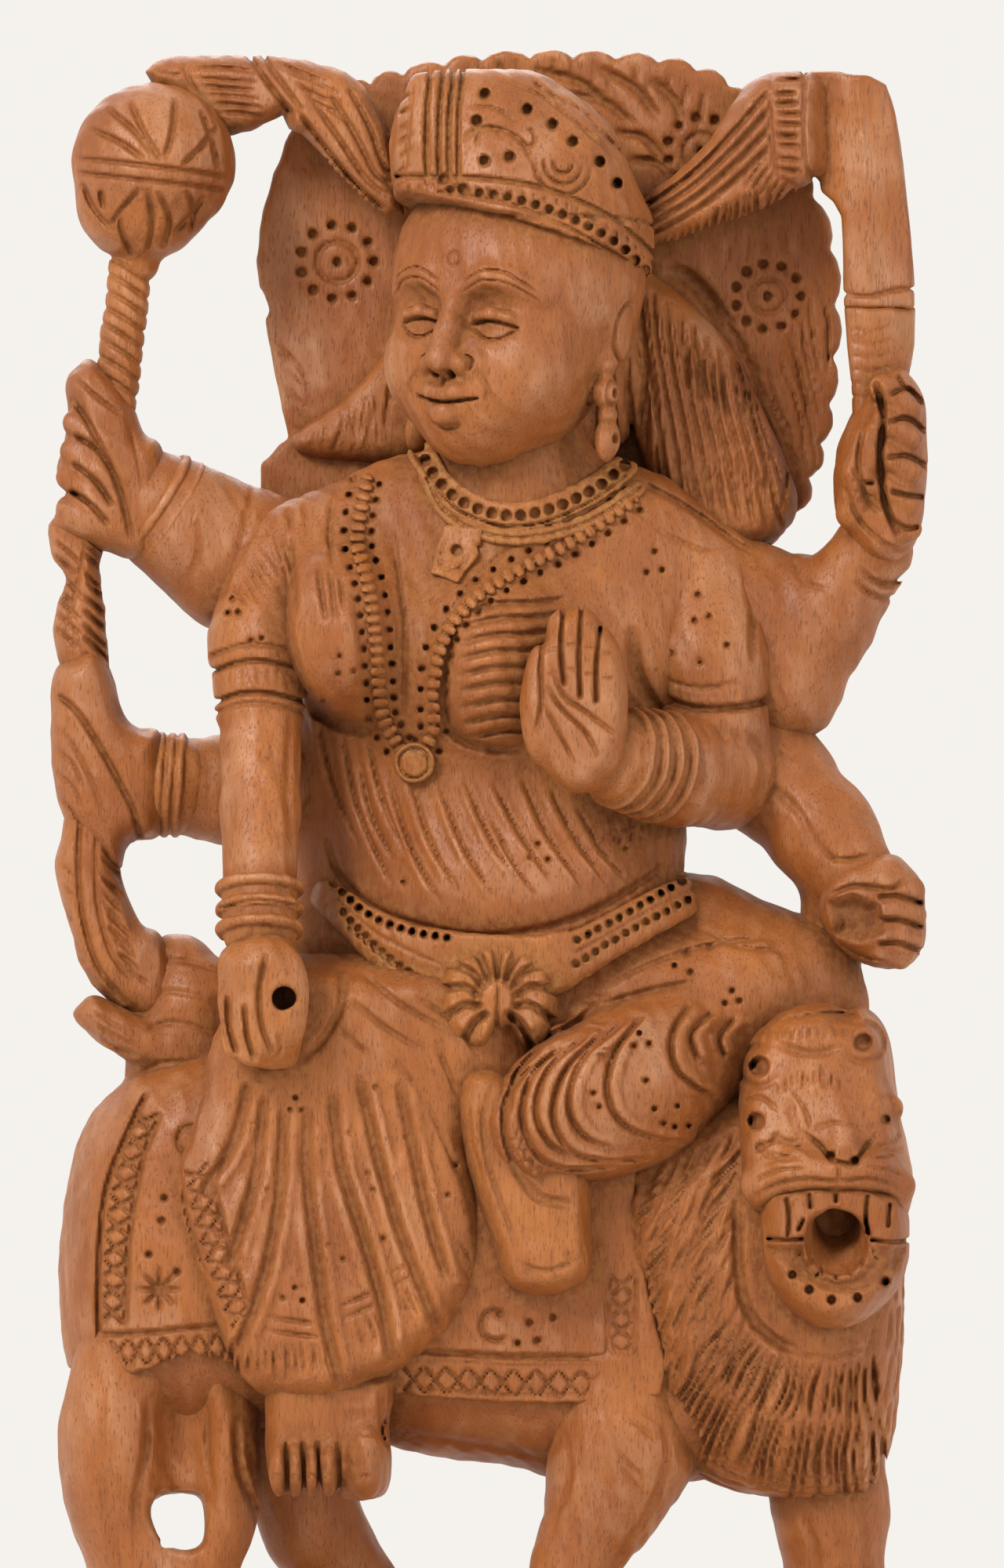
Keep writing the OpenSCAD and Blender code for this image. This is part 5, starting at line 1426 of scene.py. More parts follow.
def draw_sword_hand(v):
    f = v.front
    for points in ([(49.4, 189.6), (51.6, 190.4), (53.6, 188.4)],
                   [(49.0, 186.0), (51.6, 186.6), (54.0, 184.8)],
                   [(49.0, 181.6), (51.6, 181.8), (54.2, 180.4)],
                   [(49.4, 177.4), (51.6, 176.8), (53.8, 176.6)],
                   [(49.6, 173.6), (51.6, 172.6), (53.2, 172.8)]):
        f.line(points, 1.0, 1.1, taper=0.1)
    f.line([(47.6, 191.5), (48.6, 187), (48.2, 182), (48.8, 176), (50.6, 171.6)], 1.3, 1.5, taper=0.1)
    f.line([(46.2, 186), (45.4, 181), (46.4, 176.4), (48.4, 174.4)], 1.0, 0.9)
    f.line([(44.6, 180.4), (45.8, 178.6), (47.6, 178.4)], 0.8, 0.8)
    f.line([(43.6, 178.0), (45.6, 173.6), (49.2, 170.4), (52, 170.0)], 0.9, 0.6)
    f.hatch([(44.4, 178.4), (46.0, 174.6)], ((1.6, 0.8), (1.6, 1.0)), 4, 0.5, 0.5)
    f.line([(50.2, 192.4), (51.4, 190)], 0.9, 0.7)


GRIP = [(46.0, 189.4), (48.0, 192.4), (50.6, 193.4), (52.4, 191.8), (54.0, 188.6), (54.3, 184),
        (54.2, 179), (53.8, 174.4), (52.6, 170.4), (50.4, 167.8), (46.4, 168), (43.8, 171.6),
        (42.3, 176), (42.4, 181.4), (43.8, 185.8)]
piece("sword_hand",
      join(pillow(GRIP, 1.0, 6.6, 3.8),
           digits([[(48.4, -4.6, 190.4, 1.9), (51.6, -3.4, 188.4, 2.0)],
                   [(48.6, -5.4, 186.2, 1.9), (51.9, -4.2, 184.4, 2.0)],
                   [(48.6, -5.6, 182.0, 1.9), (52.0, -4.4, 180.0, 1.9)],
                   [(48.8, -5.2, 177.8, 1.8), (51.8, -4.0, 175.8, 1.8)],
                   [(50.0, -4.6, 174.4, 1.6), (52.0, -3.8, 172.4, 1.6)]]),
           limb([(44.6, -3.6, 174.6, 2.2), (45.4, -5.4, 179.6, 2.1), (46.6, -5.8, 184.0, 1.9)], 1),
           blend=0.9), draw_sword_hand, pitch=0.26)


def draw_hilt(v):
    for f in (v.front, v.back):
        for i in range(6):
            f.line([(44.4, 189.5 + i * 1.7), (47.0, 189.2 + i * 1.7), (49.6, 189.8 + i * 1.7)], 0.5,
                   0.25, taper=0.1)


piece("sword_hilt",
      slab([(43.6, 200.9), (43.9, 196), (44.6, 190), (45.0, 172), (50.6, 172), (51.6, 190),
            (52.6, 196), (52.8, 200.9)], lambda x, z: -2.6 + 0.10 * (x - 47.2) ** 2 + 0.03 * (201 - z),
           4.6, 0.8), draw_hilt, pitch=0.34)

BLADE = [(40.6, 215.5), (42.2, 214.2), (43.2, 212.4), (43.5, 206), (43.6, 200.6), (48, 200.6),
         (52.7, 200.6), (52.5, 206), (52.0, 212), (51.2, 219), (50.2, 225.6), (49.0, 229.2),
         (47.0, 230.3), (42, 230.9), (38, 231)]


def blade_front(x, z):
    ridge = 46.9 - np.clip((z - 203) / 27, 0, 1) * 1.4
    return -2.9 + np.where(x < ridge, (ridge - x) * 0.6, (x - ridge) * 0.34)


def draw_blade(v):
    for f in (v.front, v.back):
        f.line([(43.0, 202.6), (46.6, 202.2), (50, 203.0), (53.2, 203.2)], 0.7, 0.5, taper=0)
        f.line([(45.2, 229), (46.2, 220), (46.8, 212), (47, 203)], 0.5, -0.25, taper=0.05)
        f.line([(48.6, 226), (49.4, 216), (49.6, 207)], 0.7, 0.15)


piece("sword_blade", slab(BLADE, blade_front, lambda x, z: 4.9 - np.abs(x - 46.5) * 0.35, 0.7),
      draw_blade, pitch=0.32)


def draw_low_arm(v):
    f = v.front
    f.line([(28, 146), (33, 144.4), (38, 143)], 0.8, 0.4)
    f.line([(32.6, 141), (37.6, 136.6), (40.4, 131)], 1.6, 0.5)
    f.line([(40.2, 132.6), (42.6, 130.4), (47.4, 130.8)], 0.9, 0.7)
    f.line([(34, 146), (36.6, 141.4)], 0.6, 0.35)


piece("low_right_arm",
      join(limb([(26, 5, 148.6, 8.0), (34.4, 4, 140.8, 7.2), (41, -0.5, 133.6, 6.4),
                 (44.2, -3, 129, 5.8)], 3),
           limb([(42.6, 0, 128, 4.4), (41.6, 1, 119, 3.9), (42, 1, 111, 4.4)], 2), blend=2),
      draw_low_arm, pitch=0.36)


def draw_low_fist(v):
    f = v.front
    for z in (125.2, 122.2, 119.2):
        f.line([(47.8, z + 0.4), (50.4, z + 0.5), (53.6, z - 0.5)], 0.9, 1.0, taper=0.1)
    f.patch([(42.2, 124.6), (44.6, 125.4), (47.6, 124.2), (48.2, 121.4), (45.6, 120.4), (43, 121.2)],
            2.0, 1.6)
    f.line([(41.8, 125.8), (45, 127.0), (49.4, 126.6), (51.6, 128)], 0.9, 0.8)
    f.line([(43.0, 119.6), (46.0, 118.0), (49.4, 117.2)], 0.6, 0.4)


LOW_FIST = [(41.2, 128.4), (45, 130.6), (49.4, 131.2), (52.2, 129.4), (53.8, 126.8), (54.1, 122.4),
            (53.6, 118.8), (51.6, 116.7), (48.6, 116.4), (45.2, 117.4), (42.4, 119.6), (40.4, 123)]
piece("low_right_fist",
      join(pillow(LOW_FIST, -4.4, 6.0, 3.6),
           digits([[(49.0, -9.0, 127.0, 1.7), (52.2, -7.6, 126.4, 1.8)],
                   [(48.8, -9.6, 123.8, 1.7), (52.4, -8.0, 123.2, 1.8)],
                   [(48.6, -9.4, 120.8, 1.6), (52.0, -8.0, 120.0, 1.7)],
                   [(48.2, -8.6, 118.2, 1.4), (50.8, -7.6, 117.8, 1.5)]]), blend=0.9), draw_low_fist,
      pitch=0.26)

# the head, in its own frame: x to its left, y to its back, z to its crown, the origin at its middle

HEAD_AT = (1.6, -2.6, 197.6)
HEAD_TURN = turned(yaw=-33, roll=2)


def face_form():
    skull = join(egg((0, 0.4, 4.0), (15.6, 15.0, 15.0)), egg((0, 0.8, 9.5), (15.2, 14.6, 13.0)),
                 egg((0, -3.4, -6.0), (12.6, 11.0, 10.0)), egg((0, -9.0, -12.6), (5.2, 4.6, 3.9)),
                 egg((-6.6, -9.2, -4.6), (5.6, 5.0, 5.4)), egg((6.6, -9.2, -4.6), (5.6, 5.0, 5.4)),
                 egg((0, -10.6, -8.8), (5.4, 4.4, 4.0)), blend=5)
    sockets = [egg((s * 5.7, -16.6, 2.9), (5.0, 3.6, 3.3)) for s in (-1, 1)]
    hollow = carve(skull, *sockets, blend=2.2)
    eyes = [egg((s * 5.7, -10.7, 1.5), (4.0, 3.1, 2.5)) for s in (-1, 1)]
    lids = [limb([(s * 2.2, -13.2, 1.0, 0.5), (s * 3.5, -13.8, 2.1, 0.75), (s * 5.4, -13.9, 2.6, 0.85),
                  (s * 7.4, -13.1, 2.1, 0.75), (s * 9.2, -11.5, 0.9, 0.5)], 1.0) for s in (-1, 1)]
    brows = [limb([(s * 1.6, -14.4, 5.6, 0.8), (s * 4.6, -14.3, 7.4, 1.1), (s * 8.0, -12.9, 7.0, 1.0),
                   (s * 11.0, -10.4, 4.8, 0.6)], 1.0) for s in (-1, 1)]
    nose = join(limb([(0, -14.0, 4.6, 1.25), (0, -15.6, 0.6, 1.5), (0, -17.2, -2.8, 1.75)], 1),
                egg((0, -17.3, -3.5), (2.0, 2.1, 1.75)), egg((-2.2, -15.8, -4.0), (1.45, 1.9, 1.4)),
                egg((2.2, -15.8, -4.0), (1.45, 1.9, 1.4)), blend=0.8)
    lips = join(limb([(-4.4, -13.4, -8.2, 0.5), (-1.7, -15.9, -7.4, 1.35), (0, -16.0, -7.8, 1.2),
                      (1.7, -15.9, -7.4, 1.35), (4.4, -13.4, -8.2, 0.5)], 0.6),
                limb([(-3.8, -13.7, -9.0, 0.7), (0, -15.6, -10.2, 1.8), (3.8, -13.7, -9.0, 0.7)], 0.8),
                blend=0.15)
    whole = join(hollow, *brows, blend=1.8)
    whole = join(whole, *eyes, blend=0.6)
    whole = join(whole, *lids, blend=0.35)
    whole = join(whole, nose, blend=1.8)
    return join(whole, lips, blend=0.8)


def draw_face(v):
    f = v.front
    for s in (-1, 1):
        f.line([(s * 2.2, 0.9), (s * 4.0, 1.6), (s * 6.4, 1.5), (s * 9.0, 0.7)], 0.55, 0.8, taper=0.1)
        f.line([(s * 2.4, 0.8), (s * 4.4, -0.5), (s * 6.6, -0.6), (s * 8.8, 0.7)], 0.5, 0.6, taper=0.15)
        for rise in (0.0, 0.8):
            f.line([(s * 1.5, 5.0 + rise * 1.6), (s * 4.7, 6.8 + rise * 1.6),
                    (s * 8.0, 6.4 + rise * 1.6), (s * 11.0, 4.3 + rise * 1.2)], 0.4, 0.45, taper=0.15)
        f.dot((s * 1.25, -5.2), 0.55, 1.0)
        f.line([(s * 2.4, -2.6), (s * 3.7, -3.4), (s * 3.6, -5.0)], 0.5, 0.55)
        f.line([(s * 4.2, -4.6), (s * 5.8, -7.0), (s * 5.6, -9.0)], 1.2, 0.35)
    f.line([(-4.8, -8.2), (-2.2, -8.6), (0, -8.95), (2.2, -8.6), (4.8, -8.2)], 0.5, 1.0, taper=0.08)
    f.line([(0, -5.8), (0, -7.0)], 0.9, 0.4)
    f.line([(-2.2, -11.7), (0, -12.1), (2.2, -11.7)], 0.9, 0.45)
    f.circle((0, 9.4), 0.9, 0.4, 0.4)
    s = v.side()
    s.circle((2.2, 0.4), 2.8, 0.8, 0.6, 60, 300, 1.4)
    s.dots([(-0.6, -7.2), (0.2, -13.0)], 0.6, 1.0)
    s.circle((-0.6, -7.2), 1.5, 0.5, 0.4)


def ear(s):
    return join(egg((s * 14.4, 1.2, 0.6), (1.7, 3.0, 4.6)),
                egg((s * 14.2, -0.4, -3.6), (1.5, 1.7, 1.9)), blend=0.8)


def earring(s):
    return join(egg((s * 14.5, -0.6, -7.2), (1.7, 2.3, 2.2)),
                egg((s * 14.6, -0.2, -10.0), (1.2, 1.6, 1.4)),
                egg((s * 14.4, 0.2, -13.2), (1.5, 2.1, 2.9)), blend=0.6)


piece("head", join(face_form(), ear(-1), ear(1), earring(-1), earring(1), blend=0.8), draw_face,
      middle=-1, pitch=0.22, place=(HEAD_AT, HEAD_TURN))

# the crown

CROWN = common(join(limb([(2.9, -2.2, 208.5, 16.6), (0.8, -2.6, 216, 13.9), (-3.4, -3.4, 222.6, 10.2)],
                         6), limb([(-10.8, -9.6, 214, 2.4), (-9.4, -8.6, 228.5, 2.6)]), blend=3),
               placed(block((-40, -40, 0), (40, 40, 60), 0.3), (3, -2, 209.3),
                      turned(pitch=-9, roll=17)), 0.6)
CROWN = common(CROWN, block((-40, -40, 190), (40, 40, 231.2), 1.0), 1.2)


def draw_crown(v):
    f = v.front
    for x in (-9.6, -8.0, -6.7, -5.5):
        f.line([(x + 0.6, 231.5), (x, 226), (x - 0.1, 220), (x + 0.1, 216.2)], 0.8, 0.9, taper=0.05)
    f.line([(-11.2, 229.5), (-11.8, 224), (-12.4, 217)], 0.7, 0.4)
    f.hatch([(-13.2, 227), (-13.4, 216)], ((2.0, 1.2), (1.6, 1.6)), 7, 0.6, 0.4)
    f.dots([(-2.2, 228), (3.2, 226), (6.4, 224.1), (9, 221.9), (1, 220), (-2.2, 219.5), (-7.4, 217.2),
            (-5.0, 215.9), (-3.2, 224.6), (12.4, 219.4), (14.6, 216.6)], 0.75, 1.6)
    f.line([(-5, 222), (-3, 223.6), (0, 223.4), (2.6, 221.8), (4, 219)], 0.9, 0.8)
    f.line([(-4.4, 226.4), (-1, 226.2), (2.0, 224.4)], 0.7, 0.5)
    f.line([(-1, 230), (3.6, 228.4), (7.6, 225.8), (11.6, 222.4), (14.6, 219.4)], 0.8, 0.5)
    for r in (1.3, 2.5, 3.7):
        f.circle((7.8, 219.4), r, 0.6, 0.7, 170, 350, 1.15)
    f.circle((-1.6, 222.0), 1.6, 0.6, 0.6, 10, 200)
    f.circle((3.0, 222.4), 1.2, 0.6, 0.6, -120, 90)
    band_low = [(-13.6, 212), (-8, 214.3), (0, 213), (5, 211.3), (10, 209), (15, 206), (19, 201.6)]
    band_high = [(-13.4, 217.0), (-5, 216.9), (0, 216.5), (5, 215.6), (10, 213.8), (15, 211),
                 (20, 206.5)]
    f.line([(x, z + 1.2) for x, z in band_low[1:]], 0.7, 0.6, taper=0)
    f.line([(x, z + 0.5) for x, z in band_high], 0.8, 0.8, taper=0)
    middle = [((ax + bx) / 2, (az + bz) / 2 + 0.2) for (ax, az), (bx, bz) in zip(band_low, band_high)]
    f.dots([(x, z) for x, z, _, _ in along(middle[1:], 17)], 0.62, 1.4)
    f.hatch([(x, z - 0.4) for x, z in band_high], (0.3, -1.2), 26, 0.5, 0.4)
    f.hatch([(4, 229.6), (9, 226.6), (14, 222)], ((1.6, -1.2), (1.8, -2.0)), 8, 0.7, 0.5)
    b = v.back
    for z in (206.5, 211):
        b.line([(-16, z + 5), (3, z + 1), (22, z - 4)], 0.8, 0.7, taper=0)
    b.hatch([(-12, 229), (-2, 230), (10, 224)], ((-1.0, -16), (3, -16)), 13, 1.0, 0.7)
    s = v.side()
    s.line([(-22, 213), (0, 211), (20, 208)], 0.8, 0.6, taper=0)
    s.dots([(y, 210.5 - y * 0.1) for y in range(-18, 18, 3)], 0.6, 1.2)


piece("crown", CROWN, draw_crown, middle=2, pitch=0.27, dust=0.5)

# hair, halo and the ribbons

HAIR_RIGHT = [(16, 207), (20, 204.5), (25, 200.5), (29.5, 195.5), (33.2, 188), (36.4, 181),
              (37.8, 175.5), (35.4, 171.6), (30, 169.4), (25, 171.2), (21, 175), (18, 181), (16, 189),
              (15.5, 197)]
HAIR_LEFT = [(-10, 201), (-13.6, 197.4), (-17.0, 192.6), (-21.4, 188.2), (-26.4, 184.8),
             (-25.8, 182.2), (-20, 181.2), (-10, 181.6), (-6, 190), (-6, 199)]


def hair_mid(x, z):
    return 8.8 + 0.10 * np.abs(x - 20) - 0.06 * (205 - z)


def draw_hair(v):
    f = v.front
    for i in range(9):
        top, bottom = (17.4 + i * 1.7, 204.5 - i * 1.4), (21.6 + i * 1.75, 174 - i * 0.2)
        for shift, width, depth in ((0.0, 0.9, 0.9), (0.85, 0.6, 0.5)):
            a, b = (top[0] + shift, top[1] - shift * 2), (bottom[0] + shift, bottom[1] + shift * 3)
            f.line([a, (a[0] + 0.9, between(a, b, 0.3)[1]), between(a, b, 0.65), b], width, depth,
                   taper=0.12)
    f.hatch([(23.4, 196), (29.4, 194)], ((0.6, -8), (1.2, -8)), 6, 1.1, 1.6)
    f.hatch([(19.6, 185), (27, 184), (36, 183)], ((1.8, -10), (-0.8, -9.6)), 13, 0.8, 0.75)
    f.line([(17.2, 203), (18.4, 194), (17.6, 186)], 1.2, 1.0)
    f.hatch([(-24.4, 186.4), (-19, 190.4), (-13.6, 197)], ((-1.4, -4), (-1.6, -14)), 13, 0.8, 1.0)
    f.hatch([(11.0, 190), (15, 194), (19.0, 199)], ((0.6, -9), (1.8, -17)), 9, 0.8, 0.8)
    f.dot((-14.1, 189.4), 0.6, 1.0)


piece("hair",
      join(pillow(HAIR_RIGHT, hair_mid, 6.6, 4.5), pillow(HAIR_LEFT, 12.0, 3.6, 3.4),
           egg((3, 6, 196), (16.6, 8, 19)), blend=2.5), draw_hair, middle=9, pitch=0.32)

HALO = ([(-24, 170), (-31.0, 175.5), (-30.7, 181.0), (-27.4, 184.2), (-28.6, 190), (-30.4, 199.3),
         (-29.7, 200.4), (-31.0, 203.5), (-31.4, 207), (-30.6, 213), (-29.1, 218), (-27.2, 223),
         (-24, 228.5)] +
        scallops([(-20.5, 228.4), (-16.8, 229.3), (-12.6, 230.4), (-7.4, 231.6), (-2.5, 232.3),
                  (3.5, 232.6), (9, 232.6), (14.5, 232.4), (20, 232.0), (24.7, 231.0), (28.9, 229.0),
                  (33, 225.4), (36.8, 220.8), (39.6, 214.8), (41.9, 208.2), (42.4, 201), (42.2, 194.4),
                  (41.6, 188.4), (40.6, 183.4), (39.2, 179), (37.6, 174.6)], 1.15) +
        [(36, 172), (30, 166), (0, 160)])


def draw_halo(v):
    f = v.front
    for (x, z), radius, ring in (((-21, 206.6), 2.6, 4.7), ((33.9, 202.2), 2.2, 4.2),
                                 ((25.4, 220.7), 2.2, 4.3)):
        f.circle((x, z), radius, 0.8, 0.6)
        f.dot((x, z), 0.6, 1.3)
        f.dots([(x + ring * math.cos(a), z + ring * math.sin(a))
                for a in np.linspace(0, 2 * math.pi, 12)[:-1]], 0.62, 1.4)
    for points in ([(4, 231), (10, 229.4), (14, 226)], [(8, 228), (13, 227), (17, 223.6)],
                   [(12, 231.4), (17, 228.6), (20, 224.6)], [(14, 223), (18, 222.4), (21, 219)],
                   [(16, 219.6), (20, 219), (23, 215.6)], [(19, 230), (22, 227), (23, 224)]):
        f.line(points, 1.6, 1.0)
    f.hatch([(-3, 232.6), (12, 232.6), (26, 229)], ((0.8, -4), (-0.8, -5)), 13, 0.9, 0.6)
    f.hatch([(-29.6, 196), (-26.6, 186)], ((4, -3), (4, -4)), 5, 0.6, 0.3)
    f.hatch([(31, 197), (35, 195), (39.6, 205)], ((5.4, -19), (1.6, -12)), 11, 0.8, 0.8)
    f.hatch([(26.6, 203), (31, 195), (35.6, 187)], ((3.4, -5), (2.6, -7)), 10, 0.7, 0.8)
    f.line([(21, 206), (25, 203.4), (28.4, 198.6)], 3.0, 1.4)
    f.hatch([(29, 209.6), (40, 213.6)], ((-0.6, -4), (1.0, -4.6)), 6, 0.7, 0.4)
    f.line([(-29.4, 197), (-25, 191.6), (-24.4, 184)], 0.8, 0.3)
    b = v.back
    rim = [(-27, 182), (-30.0, 196), (-29.4, 210), (-25, 222), (-14, 228.8), (4, 230.2), (20, 227.6),
           (32, 220), (38.8, 208), (39.6, 194), (36.4, 178)]
    inner = [(x * 0.9 + 0.6, 200 + (z - 200) * 0.88) for x, z in rim]
    b.line(rim, 1.0, 0.7, taper=0)
    b.line(inner, 0.8, 0.6, taper=0)
    b.dots([(x * 0.95 + 0.3, 200 + (z - 200) * 0.94) for x, z, _, _ in along(rim, 52)], 0.6, 1.1)
    for i in range(16):
        a = 2 * math.pi * i / 16
        b.line([(5 + 4 * math.cos(a), 202 + 4 * math.sin(a)),
                (5 + 9 * math.cos(a + 0.16), 202 + 9 * math.sin(a + 0.16)),
                (5 + 15 * math.cos(a), 202 + 15 * math.sin(a))], 1.4, 0.9)
    b.circle((5, 202), 2.8, 0.9, 0.8)
    b.circle((5, 202), 16.5, 1.0, 0.7)


def halo_front(x, z):
    return 10.6 + 0.0020 * (x - 6) ** 2 - 0.05 * np.clip(x - 15, 0, 30)


piece("halo",
      slab(HALO, halo_front, lambda x, z: 18.6 - 0.0022 * (x - 5) ** 2 - 0.0016 * (z - 200) ** 2, 0.9),
      draw_halo, middle=14.5, pitch=0.4)

ARCH_LEFT = [(-45.6, 230.9), (-44.6, 232.0), (-42.5, 232.9), (-36, 233.0), (-30, 233.0), (-25, 232.4),
             (-20, 231), (-17, 228.6), (-13.6, 223), (-12.4, 212.6), (-14.6, 212.4), (-18, 214.6),
             (-22, 219), (-25.4, 222.8), (-27.2, 223.4), (-28, 225.2), (-29.5, 224.5), (-32.0, 223.2),
             (-35.0, 222.6), (-38.5, 224.6), (-41.5, 227.2), (-44.4, 228.8)]


def draw_arch_left(v):
    for f in (v.front, v.back):
        f.hatch([(-40, 231.2), (-38.6, 229.0), (-36, 225.6)], ((8.4, -0.6), (6.0, -0.6)), 6, 0.8, 0.7)
        f.line([(-40.6, 231.8), (-40, 230.0), (-38.4, 227.4)], 0.8, 0.5)
        f.line([(-32.4, 233), (-30, 229.6), (-26.8, 225.4)], 0.9, 0.8, taper=0.05)
        f.line([(-30.6, 233), (-28.2, 229.6), (-25.4, 225.8)], 0.8, 0.6, taper=0.05)
        f.hatch([(-28.6, 232.2), (-24.4, 226.6)], ((6.6, -2.6), (4.6, -2.6)), 5, 0.7, 0.6)
        for i in range(5):
            f.line([(-26.2 + i * 2.2, 226.0 + i * 0.9), (-22.6 + i * 1.9, 221.4 + i * 0.8),
                    (-18.6 + i * 1.2, 216.6 + i * 0.7), (-14.8 + i * 0.4, 213.2 + i * 1.6)], 0.9, 0.75,
                   taper=0.08)
        f.hatch([(-22, 219.6), (-15.6, 213.6)], ((-1.4, -0.4), (-1.2, -0.8)), 9, 0.5, 0.4)
        f.line([(-44.4, 231.0), (-42, 230.4), (-40.4, 230.6)], 0.8, 0.4)


piece("arch_left", pillow(ARCH_LEFT, lambda x, z: 4.4 - 0.10 * (x + 30), 4.6, 2.6, smooth=False),
      draw_arch_left, pitch=0.28)

ARCH_RIGHT = [(16, 212), (19, 215.6), (22.8, 218.5), (26.5, 222.2), (28.8, 226), (30.8, 229),
              (33, 230.5), (36, 231.0), (42, 231.0), (47.6, 230), (47, 222), (43.4, 214.4),
              (41.4, 216), (40, 217), (37.6, 215.6), (34, 213.6), (30, 212.0), (26, 210.6),
              (22, 209.2), (18.6, 208.4), (16, 209)]


def arch_right_mid(x, z):
    return 5.0 - 0.14 * (x - 18) + 4.6 * np.clip((x - 38.8) / 3.4, 0, 1)


def draw_arch_right(v):
    for f in (v.front, v.back):
        f.line([(38.6, 230.8), (38.4, 225), (38.6, 219.5), (40.2, 216.6)], 0.8, 0.6, taper=0)
        f.hatch([(34.8, 229.6), (34.8, 224), (35.4, 218.6)], ((3.6, 0.2), (3.2, -0.4)), 9, 0.75, 0.8)
        f.line([(34.4, 230.6), (34.2, 224), (35.2, 218), (38.6, 215.6)], 0.8, 0.5)
        for lift in (0.0, 1.6, 3.2, 4.8):
            f.line([(17.0, 209.4 + lift * 0.7), (24, 212.8 + lift), (29.6, 217.0 + lift * 1.3),
                    (34.2, 221.4 + lift * 1.5)], 1.0, 0.9, taper=0.06)
        f.hatch([(33.6, 219.8), (37.4, 216.4)], ((-3.0, -4.4), (-2.0, -3.0)), 6, 0.7, 0.7)
        f.hatch([(27.6, 213.6), (33.6, 217.4)], ((-1.0, -3.6), (-0.2, -4.4)), 8, 0.7, 0.7)
        f.hatch([(20, 209.6), (27, 212.6)], ((-0.6, -2.4), (-0.8, -3.2)), 8, 0.6, 0.6)


piece("arch_right", pillow(ARCH_RIGHT, arch_right_mid, 5.6, 3.0, smooth=False), draw_arch_right,
      pitch=0.28)

# jewellery, laid on the body

CHOKER = [(-11.6, 184.5), (-9.9, 181.6), (-8.0, 178.6), (-5.4, 176.2), (-1.6, 174.6), (1.7, 174.2),
          (5.5, 174.8), (9.4, 176.4), (12.6, 178.2), (15.6, 180.6)]
COLLAR = [(-9.6, 179.0), (-7.4, 175.0), (-3.4, 172.4), (2.0, 171.4), (8, 172.4), (13.0, 174.6),
          (17.4, 177.8)]
GARLAND_LEFT = [(-17.3, 178.6), (-18.2, 174), (-18.3, 170), (-17.0, 165.5), (-16.2, 160), (-15.7, 154),
                (-15.2, 148.6), (-13.2, 145.0)]
GARLAND_RIGHT = [(16.6, 176.2), (11.3, 172.4), (7, 169.8), (2.0, 167.2), (-2.6, 164.4), (-6.4, 160.4),
                 (-8.3, 156), (-8.8, 151), (-8.7, 147), (-9.6, 144.8)]


def draw_necklace(v):
    f = v.front
    f.dots([(x, z) for x, z, _, _ in along(CHOKER, 19)], 0.72, 1.7)
    f.line(COLLAR, 0.6, 0.5, taper=0)
    f.line([(x, z - 1.3) for x, z in CHOKER], 0.6, 0.5, taper=0)


piece("necklace", join(strap(BODY, CHOKER, 3.6, 1.1), strap(BODY, COLLAR, 2.2, 0.7), blend=0.4),
      draw_necklace, middle=4, pitch=0.26, finish="wood_light", dust=0.7)


def draw_garland(v):
    f = v.front
    for strand, count in ((GARLAND_LEFT, 27), (GARLAND_RIGHT, 31)):
        for x, z, dx, dz in along(strand, count):
            f.line([(x - dz * 1.5, z + dx * 1.5), (x + dz * 1.5, z - dx * 1.5)], 0.6, 0.55, taper=0)


piece("garland", join(strap(BODY, GARLAND_LEFT, 2.2, 0.8), strap(BODY, GARLAND_RIGHT, 2.0, 0.8)),
      draw_garland, middle=4, pitch=0.26, finish="wood_light", dust=0.35)


def draw_pendant(v):
    f = v.front
    f.circle((-11.2, 142.7), 1.9, 0.6, 0.6)
    f.line([(-13, 143.6), (-11.2, 144.2), (-9.4, 143.4)], 0.6, 0.5)
    f.dot((-5.8, 169.8), 0.7, 1.4)
    f.line([(-7.2, 171.4), (-7.9, 168.0), (-5.6, 167.4), (-4.2, 169.6)], 0.5, 0.4)
    f.line([(-3.4, 171), (-2.0, 168)], 0.6, 0.4)


DISC = [(-11.2 + 2.7 * math.cos(a), 142.7 + 2.7 * math.sin(a))
        for a in np.linspace(0, 2 * math.pi, 17)[:-1]]
TAG = [(-7.6, 173.2), (-9.3, 166.8), (-5.6, 165.6), (-2.6, 169.6), (-2.4, 172.8)]
piece("pendant",
      join(common(grown(BODY, 1.3), slab(DISC, -40, 2, 0.4), 0.6),
           common(grown(BODY, 0.8), slab(TAG, -40, 2, 0.3), 0.5)), draw_pendant, middle=2, pitch=0.24,
      finish="wood_light", dust=0.6)

# ------------------------------------------------------------------ materials

